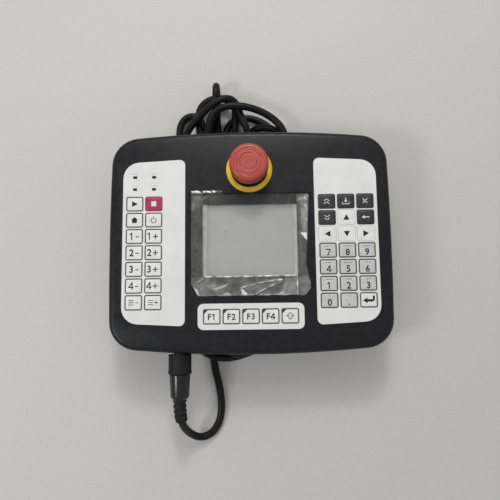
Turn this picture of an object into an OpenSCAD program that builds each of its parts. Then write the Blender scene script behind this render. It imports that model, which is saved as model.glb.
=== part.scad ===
// Handheld teach pendant: a wide two-handed case with membrane keys, a small
// display, a latching emergency stop and a plug-in cable that lies wound up
// under the case. The pendant stands on its two rear hand grips, face up.
// +X is to the right of the face, +Y towards its top edge, +Z out of the face.

/* [Case] */
// Width of the case at the parting line
case_w = 252; // [246:1:262]
// Height of the case at the parting line, from bottom edge to top edge
case_h = 201; // [198:1:212]
// Depth of the front cover, from the parting line to the face
front_depth = 24; // [23:0.5:28]
// Depth of the rear cover, from the parting line to its flat back
rear_depth = 8; // [7:0.5:12]
// Radius of the slow curve of the top and bottom edges
end_bow = 1150; // [900:50:2000]
// Radius of the slow curve of the left and right edges
side_bow = 2800; // [2000:100:5000]
// Radius of the four corners, seen from the front
corner_r = 26; // [24:0.5:29]
// Rounding of the edge between the face and the side wall
face_edge_r = 5; // [3:0.5:6]
// Rounding of the edge between the back and the side wall
back_edge_r = 4; // [2:0.5:5]
// How far the side wall of the front cover leans in up to the face
draft = 0.6; // [0:0.1:1]
// Thickness of the side walls
side_wall = 3.2; // [3:0.1:3.6]
// Thickness of the face plate
face_wall = 3.6; // [3.4:0.1:3.8]
// Thickness of the back plate
back_wall = 2.6; // [2:0.1:3]

/* [Hand grips] */
// Height of the two hand grips under the back plate
grip_depth = 22; // [22:0.5:28]
// Clear width between the two hand grips
grip_gap = 140; // [136:1:142]
// Width of each hand grip where it meets the back plate
grip_w = 46; // [40:1:48]
// Length of each hand grip
grip_len = 152; // [120:1:154]
// Corner radius of a hand grip, seen from the back
grip_corner_r = 14; // [8:1:18]
// Rounding of the lower edge of a hand grip
grip_edge_r = 5; // [3:0.5:7]
// How far a hand grip's wall leans in over its height
grip_draft = 2; // [1:0.5:4]

/* [Key panels] */
// Thickness of a membrane key panel
panel_t = 1.7; // [1.6:0.1:1.9]
// Width of the left and right key panels
side_panel_w = 55.5; // [55:0.1:57]
// Height of a side panel at its inner edge
side_panel_h = 148.8; // [147:0.2:152]
// How far a side panel's ends fall back at its outer edge
side_panel_fall = 3; // [0:0.5:4]
// Distance from the case edge to a side panel
side_panel_margin = 13; // [12:0.1:13.2]
// Outer corner radius of a side panel
side_panel_outer_r = 14.5; // [10:0.5:16]
// Inner corner radius of a side panel
side_panel_inner_r = 5; // [3:0.5:7]
// Width of the function key panel
function_panel_w = 92.6; // [90:0.2:100]
// Height of the function key panel
function_panel_h = 22.6; // [21:0.2:24]
// Corner radius of the function key panel
function_panel_r = 5; // [3:0.5:8]
// Distance from the bottom edge of the case to the row of function keys
function_row_edge = 33.5; // [31:0.5:34]
// Gap round a panel in its recess
panel_gap = 0.1; // [0.05:0.05:0.2]

/* [Keys] */
// Width of a key
key_w = 15.2; // [14:0.1:15.6]
// Height of a key
key_h = 13.2; // [12:0.1:13.4]
// Distance between two columns of keys
key_pitch_x = 17; // [16.6:0.1:17.4]
// Distance between two rows of keys
key_pitch_y = 14.6; // [14.3:0.1:14.8]
// Height of the top row of keys above the middle of the case
key_top_row = 33.5; // [32:0.5:35]
// Distance from a side panel's outer edge to its first column of keys
key_margin = 10.6; // [10.2:0.1:11]
// How far a key stands above its panel
key_rise = 0.35; // [0.2:0.05:0.6]
// Corner radius of a key
key_corner_r = 1.6; // [1:0.1:2.5]
// Free gap round a key in its window
key_gap = 0.2; // [0.15:0.05:0.3]
// Depth that a key travels when it is pressed
key_travel = 0.4; // [0.2:0.05:0.5]
// Diameter of the snap dome under a key
key_dome_d = 9; // [7:0.5:11]

/* [Status lamps] */
// Width of a lamp window
lamp_w = 3.6; // [2:0.1:5]
// Height of a lamp window
lamp_h = 2.4; // [2:0.1:4]
// Distance between the two rows of lamp windows
lamp_pitch_y = 11; // [8:0.5:12]
// Height of the lower lamp row above the top row of keys
lamp_rise = 13.3; // [11:0.1:15]

/* [Display] */
// Bare face between the recess round the display and a side panel
recess_side_margin = 3; // [2:0.1:4]
// Bare face between the recess and the function key panel
recess_low_margin = 3.7; // [2.5:0.1:5]
// Bare face between the recess and the stop button's collar
recess_top_margin = 0.6; // [0.4:0.1:1.5]
// Depth of the recess round the display
recess_depth = 1.2; // [0.8:0.1:1.5]
// Cut-off at the two lower corners of the recess
recess_cut = 8; // [5:0.5:12]
// Width of the display opening
opening_w = 83.6; // [80:0.2:86]
// Height of the display opening
opening_h = 63.4; // [60:0.2:66]
// Height of the display's middle, measured from the middle of the case
display_y = 0; // [-2:0.5:1]
// Thickness of the clear display window
window_t = 1.5; // [1:0.1:2]
// How far the display window reaches behind the edge of the opening
window_lap = 3.4; // [2:0.1:5]
// Width of the picture area
picture_w = 76.8; // [74:0.2:78]
// Height of the picture area
picture_h = 57.6; // [55:0.2:59]
// Width of the display module
module_w = 93; // [90:0.5:98]
// Height of the display module
module_h = 73; // [70:0.5:78]
// Thickness of the display module
module_t = 8; // [6:0.5:9]
// Thickness of the protective film's crumpled layer
film_t = 1.6; // [1:0.1:2.5]
// Distance from the recess's edge to the protective film
film_margin = 3; // [2:0.5:6]

/* [Stop button] */
// Distance from the top edge of the case to the stop button's axis
stop_edge = 37.2; // [36:0.1:37.5]
// Diameter of the stop button's head
stop_head_d = 34; // [30:0.5:38]
// Height of the top of the head above the face
stop_height = 26.5; // [25:0.5:32]
// Thickness of the head
stop_head_t = 17; // [14:0.5:17]
// Travel of the stop button
stop_travel = 4.5; // [3:0.5:5]
// Diameter of the yellow collar
collar_d = 41.4; // [40:0.1:42]
// Thickness of the yellow collar
collar_t = 3; // [2:0.1:3]
// Diameter of the switch's mounting bush, and of the hole for it
bush_d = 22; // [20:0.5:22.5]
// Diameter of the button's stem
stem_d = 14; // [12:0.5:15]
// Distance between two terminal blades under the switch block
blade_pitch = 6; // [4:0.5:8]
// Side of the square switch block
block_w = 29; // [27:0.5:31]
// Depth of the switch block behind the face plate
block_depth = 22; // [20:0.5:22.5]

/* [Circuit board] */
// Width of the main board
board_w = 150; // [146:1:156]
// Room between the main board and the switch block
board_margin = 4.8; // [3:0.1:6]
// Distance from the bottom edge of the case to the main board
board_edge = 48.5; // [46:0.5:50]
// Thickness of the main board
board_t = 1.6; // [1:0.1:2]
// Grid that the parts on the board are laid out on
board_grid = 2; // [1.5:0.1:2.2]
// Diameter of the board's mounting posts
post_d = 7; // [6:0.5:8]
// Room between the display module and the board
board_gap = 0.6; // [0.4:0.1:0.9]

/* [Fasteners] */
// Diameter of the case screws
screw_d = 3; // [2.5:0.1:3.5]
// Diameter of the case screws' heads
screw_head_d = 5.6; // [5:0.1:6]
// Height of the case screws' heads
screw_head_t = 2.2; // [1.8:0.1:2.4]
// Length of the case screws' shanks
screw_len = 16; // [12:1:18]
// Diameter of the screw bosses
boss_d = 9; // [8.5:0.1:9.5]
// Distance from the middle to the corner screws, sideways
screw_x = 100; // [98:0.5:101]
// Distance from a long side of the case to the corner screws
screw_edge = 16.5; // [15.5:0.5:17.5]
// Distance from a long side of the case to the screw at its middle
mid_screw_edge = 12.5; // [11.5:0.5:13.5]
// Diameter of the small screws that hold the circuit board
board_screw_d = 2.5; // [2:0.1:3]
// Width of the case seal
seal_w = 1.2; // [1:0.1:1.4]
// Height of the case seal
seal_h = 1; // [0.8:0.1:1.4]

/* [Cable connector] */
// Sideways place of the cable connector
socket_x = -63.3; // [-66:0.1:-60]
// Distance of the cable connector's axis below the face
socket_drop = 13; // [12.8:0.1:13.5]
// Diameter of the socket's barrel and of the hole for it
socket_d = 17; // [16:0.5:17]
// Diameter of the coupling ring
ring_d = 20.2; // [20:0.1:22]
// Length of the coupling ring
ring_len = 17; // [14:0.5:20]
// Diameter of the plug's front part under the ring
plug_core_d = 15.6; // [15:0.1:16]
// Diameter of the plug's insert inside the socket
plug_nose_d = 12.6; // [11:0.1:13]
// Length of the plug's insert
plug_nose_len = 8; // [6:0.5:10]
// Diameter of the plug's grip body beside the ring
plug_body_d = 18.2; // [17.5:0.1:19]
// Diameter of the plug's grip body at its cable end
plug_end_d = 16.4; // [15:0.1:17]
// Length of the plug's grip body with its chamfer
plug_body_len = 22; // [20:0.5:24]
// Diameter of the cable boot
boot_d = 11; // [10:0.1:12]
// Width of the flat pad that the socket's flange bears on
pad_w = 26; // [24:0.5:28]
// Depth of that pad behind the socket's face
pad_t = 6; // [5:0.5:8]
// Length of the socket's solder end behind the pad
socket_tail = 12; // [8:1:14]

/* [Cable] */
// Diameter of the cable
cable_d = 7; // [6.5:0.1:7]
// Number of cable layers in the coil
coil_layers = 3; // [2:1:3]
// Diameter of the plug at the controller's end
far_plug_d = 17; // [15:0.5:18]
// Length of that plug
far_plug_len = 62; // [50:1:80]
// Length of that plug's cable sleeve
far_sleeve_len = 18; // [12:1:24]
// Length of that plug's contact barrel
far_barrel_len = 10; // [6:1:14]
// How much narrower the contact barrel is all round
far_barrel_step = 2; // [1:0.5:3]

/* [Hidden] */
$fn = 64;
eps = 0.01;

// Heights of the main planes above the surface that the pendant stands on
back_z = grip_depth;
part_z = back_z + rear_depth;
face_z = part_z + front_depth;
inner_z = face_z - face_wall;

// ---- Outline of the case --------------------------------------------------

corner_segments = 8;
end_segments = 6;
side_segments = 3;

// Points along an arc round c, from angle a0 to angle a1
function arc(c, r, a0, a1, n) =
    [for (i = [0:n]) let (a = a0 + (a1 - a0) * i / n) [c[0] + r * cos(a), c[1] + r * sin(a)]];

// The corner circle touches the slow end curve and the slow side curve from
// inside, so its middle lies where two circles about their middles meet.
end_mid = [0, case_h / 2 - end_bow];
side_mid = [case_w / 2 - side_bow, 0];
mids_apart = norm(side_mid - end_mid);
end_reach = end_bow - corner_r;
side_reach = side_bow - corner_r;
along = (end_reach ^ 2 - side_reach ^ 2 + mids_apart ^ 2) / (2 * mids_apart);
across = sqrt(end_reach ^ 2 - along ^ 2);
run = (side_mid - end_mid) / mids_apart;
corner_mid = end_mid + along * run + across * [run[1], -run[0]];
end_angle = atan2(corner_mid[1] - end_mid[1], corner_mid[0] - end_mid[0]);
side_angle = atan2(corner_mid[1] - side_mid[1], corner_mid[0] - side_mid[0]);

// One quarter of the outline, drawn in by a distance, from side to top
function quarter(inset) = concat(
    arc(side_mid, side_bow - inset, 0, side_angle, side_segments),
    arc(corner_mid, corner_r - inset, side_angle, end_angle, corner_segments),
    arc(end_mid, end_bow - inset, end_angle, 90, end_segments));

function reversed(p) = [for (i = [len(p) - 1:-1:0]) p[i]];
function mirrored(p, sx, sy) = [for (q = p) [q[0] * sx, q[1] * sy]];
function without_repeats(p) =
    [for (i = [0:len(p) - 1]) if (norm(p[i] - p[(i + 1) % len(p)]) > 0.001) p[i]];

function case_outline(inset) = without_repeats(concat(
    quarter(inset), reversed(mirrored(quarter(inset), -1, 1)),
    mirrored(quarter(inset), -1, -1), reversed(mirrored(quarter(inset), 1, -1))));

// How far the bottom edge lies from the middle of the case at a place x
function edge_reach(x) = end_mid[1] + sqrt(end_bow ^ 2 - x ^ 2);

// A polygon whose corners are rounded, each by its own radius
function rounded_corner(a, b, c, r, n) =
    let (u = (a - b) / norm(a - b), v = (c - b) / norm(c - b),
         half = acos(u * v) / 2, mid = b + (u + v) / norm(u + v) * r / sin(half),
         start = b + u * r / tan(half), finish = b + v * r / tan(half),
         a0 = atan2(start[1] - mid[1], start[0] - mid[0]),
         turn = atan2(finish[1] - mid[1], finish[0] - mid[0]) - a0,
         sweep = turn > 180 ? turn - 360 : turn < -180 ? turn + 360 : turn)
    arc(mid, r, a0, a0 + sweep, n);

function rounded(p, r, n = 4) =
    [for (i = [0:len(p) - 1])
        each rounded_corner(p[(i + len(p) - 1) % len(p)], p[i], p[(i + 1) % len(p)], r[i], n)];

function box_outline(w, h, r, n = 4) = rounded(
    [[w / 2, -h / 2], [w / 2, h / 2], [-w / 2, h / 2], [-w / 2, -h / 2]], [r, r, r, r], n);

module slice(outline, z) {
    translate([0, 0, z]) linear_extrude(eps) polygon(outline);
}

module plate(outline, z, t) {
    translate([0, 0, z]) linear_extrude(t) polygon(outline);
}

module rod(d, z0, z1) {
    translate([0, 0, z0]) cylinder(d = d, h = z1 - z0);
}

// A shape of revolution whose axis points along -Y
module turned_y(profile) {
    rotate([90, 0, 0]) rotate_extrude() polygon(profile);
}

// ---- Key panels and keys ---------------------------------------------------

panel_out = case_w / 2 - side_panel_margin;
panel_in = panel_out - side_panel_w;
function_y = function_row_edge - case_h / 2;
stop_y = case_h / 2 - stop_edge;

// The shallow recess fills the face between the panels and the collar
recess_w = 2 * (panel_in - recess_side_margin);
recess_top = stop_y - collar_d / 2 - recess_top_margin;
recess_low = function_y + function_panel_h / 2 + recess_low_margin;
recess_h = recess_top - recess_low;
recess_y = (recess_top + recess_low) / 2;

// Outline of the recess, drawn in by a distance, with its two lower corners cut off
function recess_outline(inset) =
    let (w = recess_w / 2 - inset, h = recess_h / 2 - inset, cut = recess_cut - inset * (2 - sqrt(2)))
    [for (q = rounded([[w, cut - h], [w, h], [-w, h], [-w, cut - h], [cut - w, -h], [w - cut, -h]],
                      [1, 1, 1, 1, 1, 1])) q + [0, recess_y]];

// The right panel's outline; the left one is its mirror image
function side_panel_outline(grow) = rounded(
    [[panel_out + grow, side_panel_fall - side_panel_h / 2 - grow],
     [panel_out + grow, side_panel_h / 2 - side_panel_fall + grow],
     [panel_in - grow, side_panel_h / 2 + grow], [panel_in - grow, -side_panel_h / 2 - grow]],
    [side_panel_outer_r, side_panel_outer_r, side_panel_inner_r, side_panel_inner_r], 6);

function function_panel_outline(grow) = [
    for (q = box_outline(function_panel_w + 2 * grow, function_panel_h + 2 * grow, function_panel_r, 6))
        q + [0, function_y]];

panel_z = face_z - panel_t;
side_panel_y = -0.6;

left_keys = [
    ["key_run", "key_stop"], ["key_home", "key_servo"], ["key_axis1_minus", "key_axis1_plus"],
    ["key_axis2_minus", "key_axis2_plus"], ["key_axis3_minus", "key_axis3_plus"],
    ["key_axis4_minus", "key_axis4_plus"], ["key_all_minus", "key_all_plus"]];
right_keys = [
    ["key_page_up", "key_write", "key_escape"], ["key_page_down", "key_up", "key_backspace"],
    ["key_left", "key_down", "key_right"], ["key_7", "key_8", "key_9"],
    ["key_4", "key_5", "key_6"], ["key_1", "key_2", "key_3"], ["key_0", "key_point", "key_enter"]];
function_keys = ["key_f1", "key_f2", "key_f3", "key_f4", "key_shift"];

function row_y(row) = key_top_row - row * key_pitch_y;

LEFT = [for (row = [0:6]) for (col = [0:1])
    [left_keys[row][col], -panel_out + key_margin + col * key_pitch_x, row_y(row)]];
RIGHT = [for (row = [0:6]) for (col = [0:2])
    [right_keys[row][col], panel_out - key_margin + (col - 2) * key_pitch_x, row_y(row)]];
FUNCTION = [for (col = [0:4]) [function_keys[col], (col - 2) * key_pitch_x, function_y]];
KEYS = concat(LEFT, RIGHT, FUNCTION);

// ---- Stop button -----------------------------------------------------------

bush_top = face_z + stop_height - stop_head_t - stop_travel - 1.2;
fit = 0.06;
bush_seat = 0.1;

// ---- Screws ----------------------------------------------------------------

screw_y = case_h / 2 - screw_edge;
mid_screw_y = case_h / 2 - mid_screw_edge;
SCREWS = concat([for (sx = [-1, 1]) for (sy = [-1, 1]) [sx * screw_x, sy * screw_y]],
                [[0, mid_screw_y], [0, -mid_screw_y]]);
screw_seat_z = back_z + 3;
board_z = inner_z - window_t - module_t - 0.1 - board_gap - board_t;
board_top = stop_y - block_w / 2 - board_margin;
board_low = board_edge - case_h / 2;
board_h = board_top - board_low;
board_y = (board_top + board_low) / 2;
POSTS = [for (sx = [-1, 1]) for (sy = [-1, 1])
    [sx * (board_w / 2 - 6), board_y + sy * (board_h / 2 - 6)]];

// ---- Cable connector and cable ---------------------------------------------

socket_z = face_z - socket_drop;
socket_face_y = -edge_reach(socket_x) + draft + 0.2;
ring_y = -edge_reach(abs(socket_x) - ring_d / 2) - 0.3;
plug_y = ring_y - ring_len - 0.3;
boot_y = plug_y - plug_body_len;
pad_y = socket_face_y + pad_t;

// The boot hangs down a little; these are steps from the end of the plug
BOOT = [for (p = [[0, 0, 0], [0, -1.6, 0], [0, -2, 0], [0, -4, -0.1], [0, -4.4, -0.1],
                  [0.1, -6.4, -0.4], [0.1, -6.8, -0.4], [0.2, -8.8, -0.9], [0.2, -9.2, -1],
                  [0.3, -11.2, -1.6], [0.3, -11.6, -1.8], [0.5, -13.6, -2.7], [0.5, -14, -2.9],
                  [0.8, -17, -4.6]]) p + [socket_x, boot_y, socket_z]];
BOOT_R = [for (i = [0:13]) i % 4 < 2 ? boot_d / 2 : boot_d / 2 - 0.7];

// The cable comes down from the boot to the surface, turns back and runs
// under the case to the wound part
CABLE = [
    [-62.5, -155.9, 36.4], [-62.2, -160, 32.6], [-61.2, -164.5, 27.2], [-59.2, -169, 20.6],
    [-56, -173.4, 14], [-51.4, -176.8, 8.6], [-46, -177.8, 5.2], [-40.4, -175.8, 3.8],
    [-35.6, -171.4, 3.5], [-32, -165.2, 3.5], [-30, -158, 3.5], [-29.3, -150, 3.5],
    [-29.8, -142, 3.5], [-31, -134, 3.5], [-32.8, -126, 3.5], [-34.8, -118, 3.5],
    [-36.2, -110, 3.5], [-37, -102, 3.5], [-37.4, -94, 3.5]];

// The wound part is longer than the case is high, with two round ends
coil_h = coil_layers * cable_d;
coil_low = [-17.5, -56];
coil_low_r = 50;
coil_high = [-17, 99];
coil_high_r = 54;
coil_hole_w = 40;
coil_hole_low = -70;
coil_hole_high = 92;
coil_hole_r = 12;

// Rings of a tube along a route: each ring stands square to the route
function direction(p, i) =
    let (a = p[max(i - 1, 0)], b = p[min(i + 1, len(p) - 1)]) (b - a) / norm(b - a);
function ring(c, d, r, n) =
    let (side = cross(d, [0, 0, 1]) / norm(cross(d, [0, 0, 1])), up = cross(side, d))
    [for (k = [0:n - 1]) let (a = 360 * k / n) c + r * (cos(a) * side + sin(a) * up)];

module tube(route, radii, n) {
    last = len(route) - 1;
    polyhedron(
        points = [for (i = [0:last]) each ring(route[i], direction(route, i), radii[i], n)],
        faces = concat(
            [[for (k = [0:n - 1]) k]],
            [for (i = [0:last - 1]) for (k = [0:n - 1]) let (m = (k + 1) % n, j = i + 1)
                each [[i * n + k, j * n + k, j * n + m], [i * n + k, j * n + m, i * n + m]]],
            [[for (k = [n - 1:-1:0]) last * n + k]]),
        convexity = 8);
}

// ---- Case ------------------------------------------------------------------

// Rounded slab between the parting line and the face
module front_block() {
    hull() {
        slice(case_outline(0), part_z);
        for (a = [0, 20, 40, 60, 75, 90])
            slice(case_outline(draft + face_edge_r * (1 - cos(a))),
                  face_z - face_edge_r * (1 - sin(a)) - eps);
    }
}

module front_cavity() {
    hull() {
        slice(case_outline(side_wall), part_z - 1);
        slice(case_outline(side_wall + draft), inner_z - 3);
        slice(case_outline(side_wall + draft + 2), inner_z - eps);
    }
}

// L-shaped ribs that hold the corners of the display module
module module_ribs() {
    for (sx = [-1, 1]) for (sy = [-1, 1])
        translate([sx * (module_w / 2 + 0.3), display_y + sy * (module_h / 2 + 0.3), 0])
            mirror([sx < 0 ? 1 : 0, 0, 0]) mirror([0, sy < 0 ? 1 : 0, 0])
                translate([0, 0, inner_z - 7]) difference() {
                    translate([-8, -8, 0]) cube([9.6, 9.6, 7.1]);
                    translate([-9, -9, -1]) cube([9, 9, 9]);
                }
}

module front_cover() color([0.13, 0.13, 0.14]) {
    difference() {
        union() {
            difference() {
                front_block();
                front_cavity();
            }
            for (s = SCREWS) translate([s[0], s[1], 0]) rod(boss_d - 0.6, part_z, inner_z + 1);
            for (p = POSTS) translate([p[0], p[1], 0]) rod(post_d, board_z + board_t, inner_z + 1);
            module_ribs();
            // flat inner pad that the cable socket's flange bears on
            translate([socket_x - pad_w / 2, socket_face_y + 1, part_z + 1])
                cube([pad_w, pad_t - 1, inner_z - part_z]);
        }
        for (side = [0, 1]) mirror([side, 0, 0]) translate([0, side_panel_y, 0])
            plate(side_panel_outline(panel_gap), panel_z, panel_t + 1);
        plate(function_panel_outline(panel_gap), panel_z, panel_t + 1);
        plate(recess_outline(0), face_z - recess_depth, 5);
        translate([0, display_y, 0])
            plate(box_outline(opening_w, opening_h, 1.2), inner_z - 1, face_wall + 2);
        translate([0, stop_y, 0]) rod(bush_d + 2 * bush_seat, inner_z - 1, face_z + 1);
        translate([socket_x, 0, socket_z]) rotate([90, 0, 0])
            cylinder(d = socket_d + 0.2, h = case_h);
        for (s = SCREWS) translate([s[0], s[1], 0])
            rod(screw_d + 0.04, part_z - 1, screw_seat_z + screw_len + 1);
        for (p = POSTS) translate([p[0], p[1], 0])
            rod(board_screw_d + 0.04, board_z, board_z + board_t + 6);
    }
}

module grip_block(inset, floor_z, top_z) {
    x = grip_gap / 2 + grip_w / 2;
    edge = max(grip_edge_r - inset, 1);
    lean = grip_draft + inset;
    hull() {
        plate([for (q = box_outline(grip_w - 2 * inset, grip_len - 2 * inset, grip_corner_r - inset, 5))
            q + [x, 0]], top_z - eps, eps);
        for (a = [0, 30, 60, 90]) let (d = lean + edge * (1 - cos(a)))
            plate([for (q = box_outline(grip_w - 2 * d, grip_len - 2 * d,
                                        max(grip_corner_r - d, 2), 5)) q + [x, 0]],
                  floor_z + edge * (1 - sin(a)), eps);
    }
}

module rear_cover() color([0.1, 0.1, 0.11]) {
    difference() {
        union() {
            difference() {
                union() {
                    hull() {
                        for (a = [30, 60, 90])
                            slice(case_outline(back_edge_r * (1 - cos(a))),
                                  back_z + back_edge_r * (1 - sin(a)));
                        plate(case_outline(0), back_z + back_edge_r, rear_depth - back_edge_r);
                    }
                    for (side = [0, 1]) mirror([side, 0, 0]) grip_block(0, 0, back_z + 1);
                }
                hull() {
                    slice(case_outline(back_edge_r + side_wall - 1), back_z + back_wall);
                    slice(case_outline(side_wall), part_z + 1);
                }
                for (side = [0, 1]) mirror([side, 0, 0])
                    grip_block(back_wall, back_wall, back_z + back_wall + 1);
            }
            for (s = SCREWS) translate([s[0], s[1], 0]) rod(boss_d, back_z + 0.5, part_z);
        }
        // groove for the seal
        difference() {
            plate(case_outline((side_wall - seal_w) / 2), part_z - seal_h, seal_h + 1);
            plate(case_outline((side_wall + seal_w) / 2), part_z - seal_h - 1, seal_h + 3);
        }
        for (s = SCREWS) translate([s[0], s[1], 0]) {
            rod(screw_head_d + 0.6, back_z - 1, screw_seat_z);
            rod(screw_d + 0.4, back_z, part_z + 1);
        }
    }
}

module case_seal() color([0.25, 0.25, 0.25]) {
    difference() {
        plate(case_outline((side_wall - seal_w) / 2), part_z - seal_h, seal_h);
        plate(case_outline((side_wall + seal_w) / 2), part_z - seal_h - 1, seal_h + 2);
    }
}

// A pan-head screw with a cross recess, its head below and its tip above
module screw(d, head_d, head_t, length, seat) {
    difference() {
        union() {
            rod(head_d, seat - head_t, seat);
            rod(d, seat - 0.1, seat + length);
        }
        for (a = [0, 90]) rotate([0, 0, a])
            translate([-head_d * 0.3, -d * 0.12, seat - head_t - 1]) cube([head_d * 0.6, d * 0.24, 2]);
    }
}

module screws() color([0.7, 0.7, 0.72]) {
    for (s = SCREWS) translate([s[0], s[1], 0])
        screw(screw_d, screw_head_d, screw_head_t, screw_len, screw_seat_z);
    for (p = POSTS) translate([p[0], p[1], 0])
        screw(board_screw_d, board_screw_d + 2, 1.5, board_t + 5, board_z);
}

// ---- Key panels and keys ---------------------------------------------------

module key_window(k) {
    translate([k[1], k[2], 0])
        plate(box_outline(key_w + 2 * key_gap, key_h + 2 * key_gap, key_corner_r + key_gap, 3),
              panel_z - 1, panel_t + 2);
}

module key_panels() color([0.86, 0.86, 0.85]) {
    difference() {
        for (side = [0, 1]) mirror([side, 0, 0]) translate([0, side_panel_y, 0])
            plate(side_panel_outline(0), panel_z, panel_t);
        for (k = concat(LEFT, RIGHT)) key_window(k);
        for (col = [0:1]) for (row = [0:1])
            translate([LEFT[col][1], key_top_row + lamp_rise + row * lamp_pitch_y, panel_z + 1])
                translate([-lamp_w / 2, -lamp_h / 2, 0]) cube([lamp_w, lamp_h, panel_t]);
    }
    difference() {
        plate(function_panel_outline(0), panel_z, panel_t);
        for (k = FUNCTION) key_window(k);
    }
}

// One key: an embossed cap in the panel's window with a snap dome below
module key(k) {
    dome_z = panel_z + key_travel + 0.3;
    cap_z = dome_z + 0.4;
    translate([k[1], k[2], 0]) {
        plate(box_outline(key_w, key_h, key_corner_r, 3), cap_z, face_z - cap_z);
        hull() {
            slice(box_outline(key_w, key_h, key_corner_r, 3), face_z - eps);
            slice(box_outline(key_w - 1.4, key_h - 1.4, key_corner_r, 3), face_z + key_rise - eps);
        }
        rod(key_dome_d, dome_z, cap_z + 0.1);
    }
}

function key_colour(name) =
    name == "key_stop" ? [0.65, 0.08, 0.2]
    : len([for (n = ["key_page_up", "key_write", "key_escape", "key_page_down", "key_backspace"])
        if (n == name) n]) > 0 ? [0.12, 0.12, 0.13] : [0.85, 0.85, 0.84];

// ---- Display ---------------------------------------------------------------

module display_window() color([0.7, 0.72, 0.72, 0.4]) {
    translate([0, display_y, 0])
        plate(box_outline(opening_w + 2 * window_lap, opening_h + 2 * window_lap, 2),
              inner_z - window_t, window_t);
}

module display_module() color([0.62, 0.63, 0.62]) {
    top = inner_z - window_t - 0.1;
    translate([0, display_y, top - module_t]) {
        difference() {
            translate([-module_w / 2, -module_h / 2, 0]) cube([module_w, module_h, module_t]);
            translate([-picture_w / 2, -picture_h / 2, module_t - 0.6])
                cube([picture_w, picture_h, 2]);
            // stepped edge of the metal frame
            for (side = [-1, 1]) translate([side * module_w / 2, 0, module_t])
                cube([3, module_h + 2, 1.6], center = true);
        }
    }
}

module display_film() color([0.6, 0.62, 0.62, 0.5])
    plate(recess_outline(film_margin), face_z - recess_depth + 0.1, film_t);

// ---- Stop button -----------------------------------------------------------

module stop_collar() color([0.85, 0.72, 0.1]) translate([0, stop_y, face_z])
    rotate_extrude() polygon([
        [bush_d / 2 + bush_seat, 0], [collar_d / 2, 0], [collar_d / 2, collar_t * 0.55],
        [collar_d / 2 - collar_t * 0.45, collar_t], [bush_d / 2 + 2.2, collar_t],
        [bush_d / 2 + bush_seat, collar_t - 0.8]]);

// The mushroom head: a spigot hole below, a fluted skirt and a dished top
module stop_head() color([0.75, 0.24, 0.2]) translate([0, stop_y, face_z + stop_height]) {
    r = stop_head_d / 2;
    skirt = stop_head_t;
    rotate_extrude() polygon(concat(
        [[stem_d / 2 - 2 + fit, -skirt], [r - 2.2, -skirt], [r - 1.2, -skirt + 2], [r, -skirt + 4.5]],
        arc([r - 2.4, -2.4], 2.4, 0, 90, 5),
        [[r * 0.72, 0], [r * 0.69, -0.4], [r * 0.64, -0.4], [r * 0.61, 0], [r * 0.44, 0],
         [r * 0.41, -0.4], [r * 0.36, -0.4], [r * 0.33, 0], [0, 0], [0, -5],
         [stem_d / 2 - 2 + fit, -5]]));
}

module stop_stem() color([0.2, 0.2, 0.21]) translate([0, stop_y, 0]) {
    head_bottom = face_z + stop_height - stop_head_t;
    rod(stem_d, inner_z - block_depth + 8, head_bottom - 0.1);
    rod(stem_d - 4, head_bottom - 1, face_z + stop_height - 5.3);
}

module stop_switch_block() color([0.16, 0.16, 0.17]) translate([0, stop_y, 0]) difference() {
    union() {
        translate([-block_w / 2, -block_w / 2, inner_z - block_depth])
            cube([block_w, block_w, block_depth - 0.1]);
        rod(bush_d, inner_z - 1, bush_top);
        // terminal blades
        for (i = [-1.5:1.5])
            translate([i * blade_pitch - 1.2, -0.4, inner_z - block_depth - 2]) cube([2.4, 0.8, 2.5]);
    }
    rod(stem_d + 2 * fit, inner_z - block_depth + 2, bush_top + 1);
}

// ---- Circuit board ---------------------------------------------------------

module main_board() color([0.1, 0.35, 0.2]) difference() {
    union() {
        translate([-board_w / 2, board_y - board_h / 2, board_z]) cube([board_w, board_h, board_t]);
        // processor, memory, driver chips, crystal, supply coil and cable header, on
        // the back: place, size and height in steps of the board's grid
        for (c = [[-4, 5, 12, 12, 1], [14, 7, 7, 10, 0.8], [14, -9, 7, 10, 0.8],
                  [-20, 6, 5, 8, 0.8], [-16, -10, 6, 3, 1], [24, -16, 6, 6, 2.5],
                  [-24, -17, 12, 4, 3]] * board_grid)
            translate([c[0] - c[2] / 2, board_y + c[1] - c[3] / 2, board_z - c[4]])
                cube([c[2], c[3], c[4] + 0.1]);
    }
    for (p = POSTS) translate([p[0], p[1], 0]) rod(board_screw_d + 0.4, board_z - 1, board_z + 3);
}

// ---- Cable connector and cable ---------------------------------------------

module cable_socket() color([0.2, 0.2, 0.21]) translate([socket_x, 0, socket_z]) {
    back = pad_y + socket_tail;
    // the flange reaches up to the face plate
    flange_r = socket_drop - face_wall - 0.1;
    turned_y([
        [0, -back], [socket_d / 2 - 2, -back], [socket_d / 2 - 2, -pad_y - 2.5],
        [flange_r, -pad_y - 2.5], [flange_r, -pad_y], [socket_d / 2, -pad_y],
        [socket_d / 2, -socket_face_y], [plug_nose_d / 2 + fit, -socket_face_y],
        [plug_nose_d / 2 + fit, -socket_face_y - plug_nose_len - 0.5],
        [0, -socket_face_y - plug_nose_len - 0.5]]);
}

module cable_plug() color([0.12, 0.12, 0.13]) translate([socket_x, 0, socket_z]) {
    tip = socket_face_y + plug_nose_len;
    turned_y([
        [0, -tip], [plug_nose_d / 2, -tip], [plug_nose_d / 2, -ring_y - 0.2],
        [plug_core_d / 2, -ring_y - 0.2], [plug_core_d / 2, -plug_y],
        [plug_body_d / 2, -plug_y], [plug_end_d / 2, -boot_y - 3],
        [boot_d / 2 + 0.4, -boot_y], [0, -boot_y]]);
}

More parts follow.
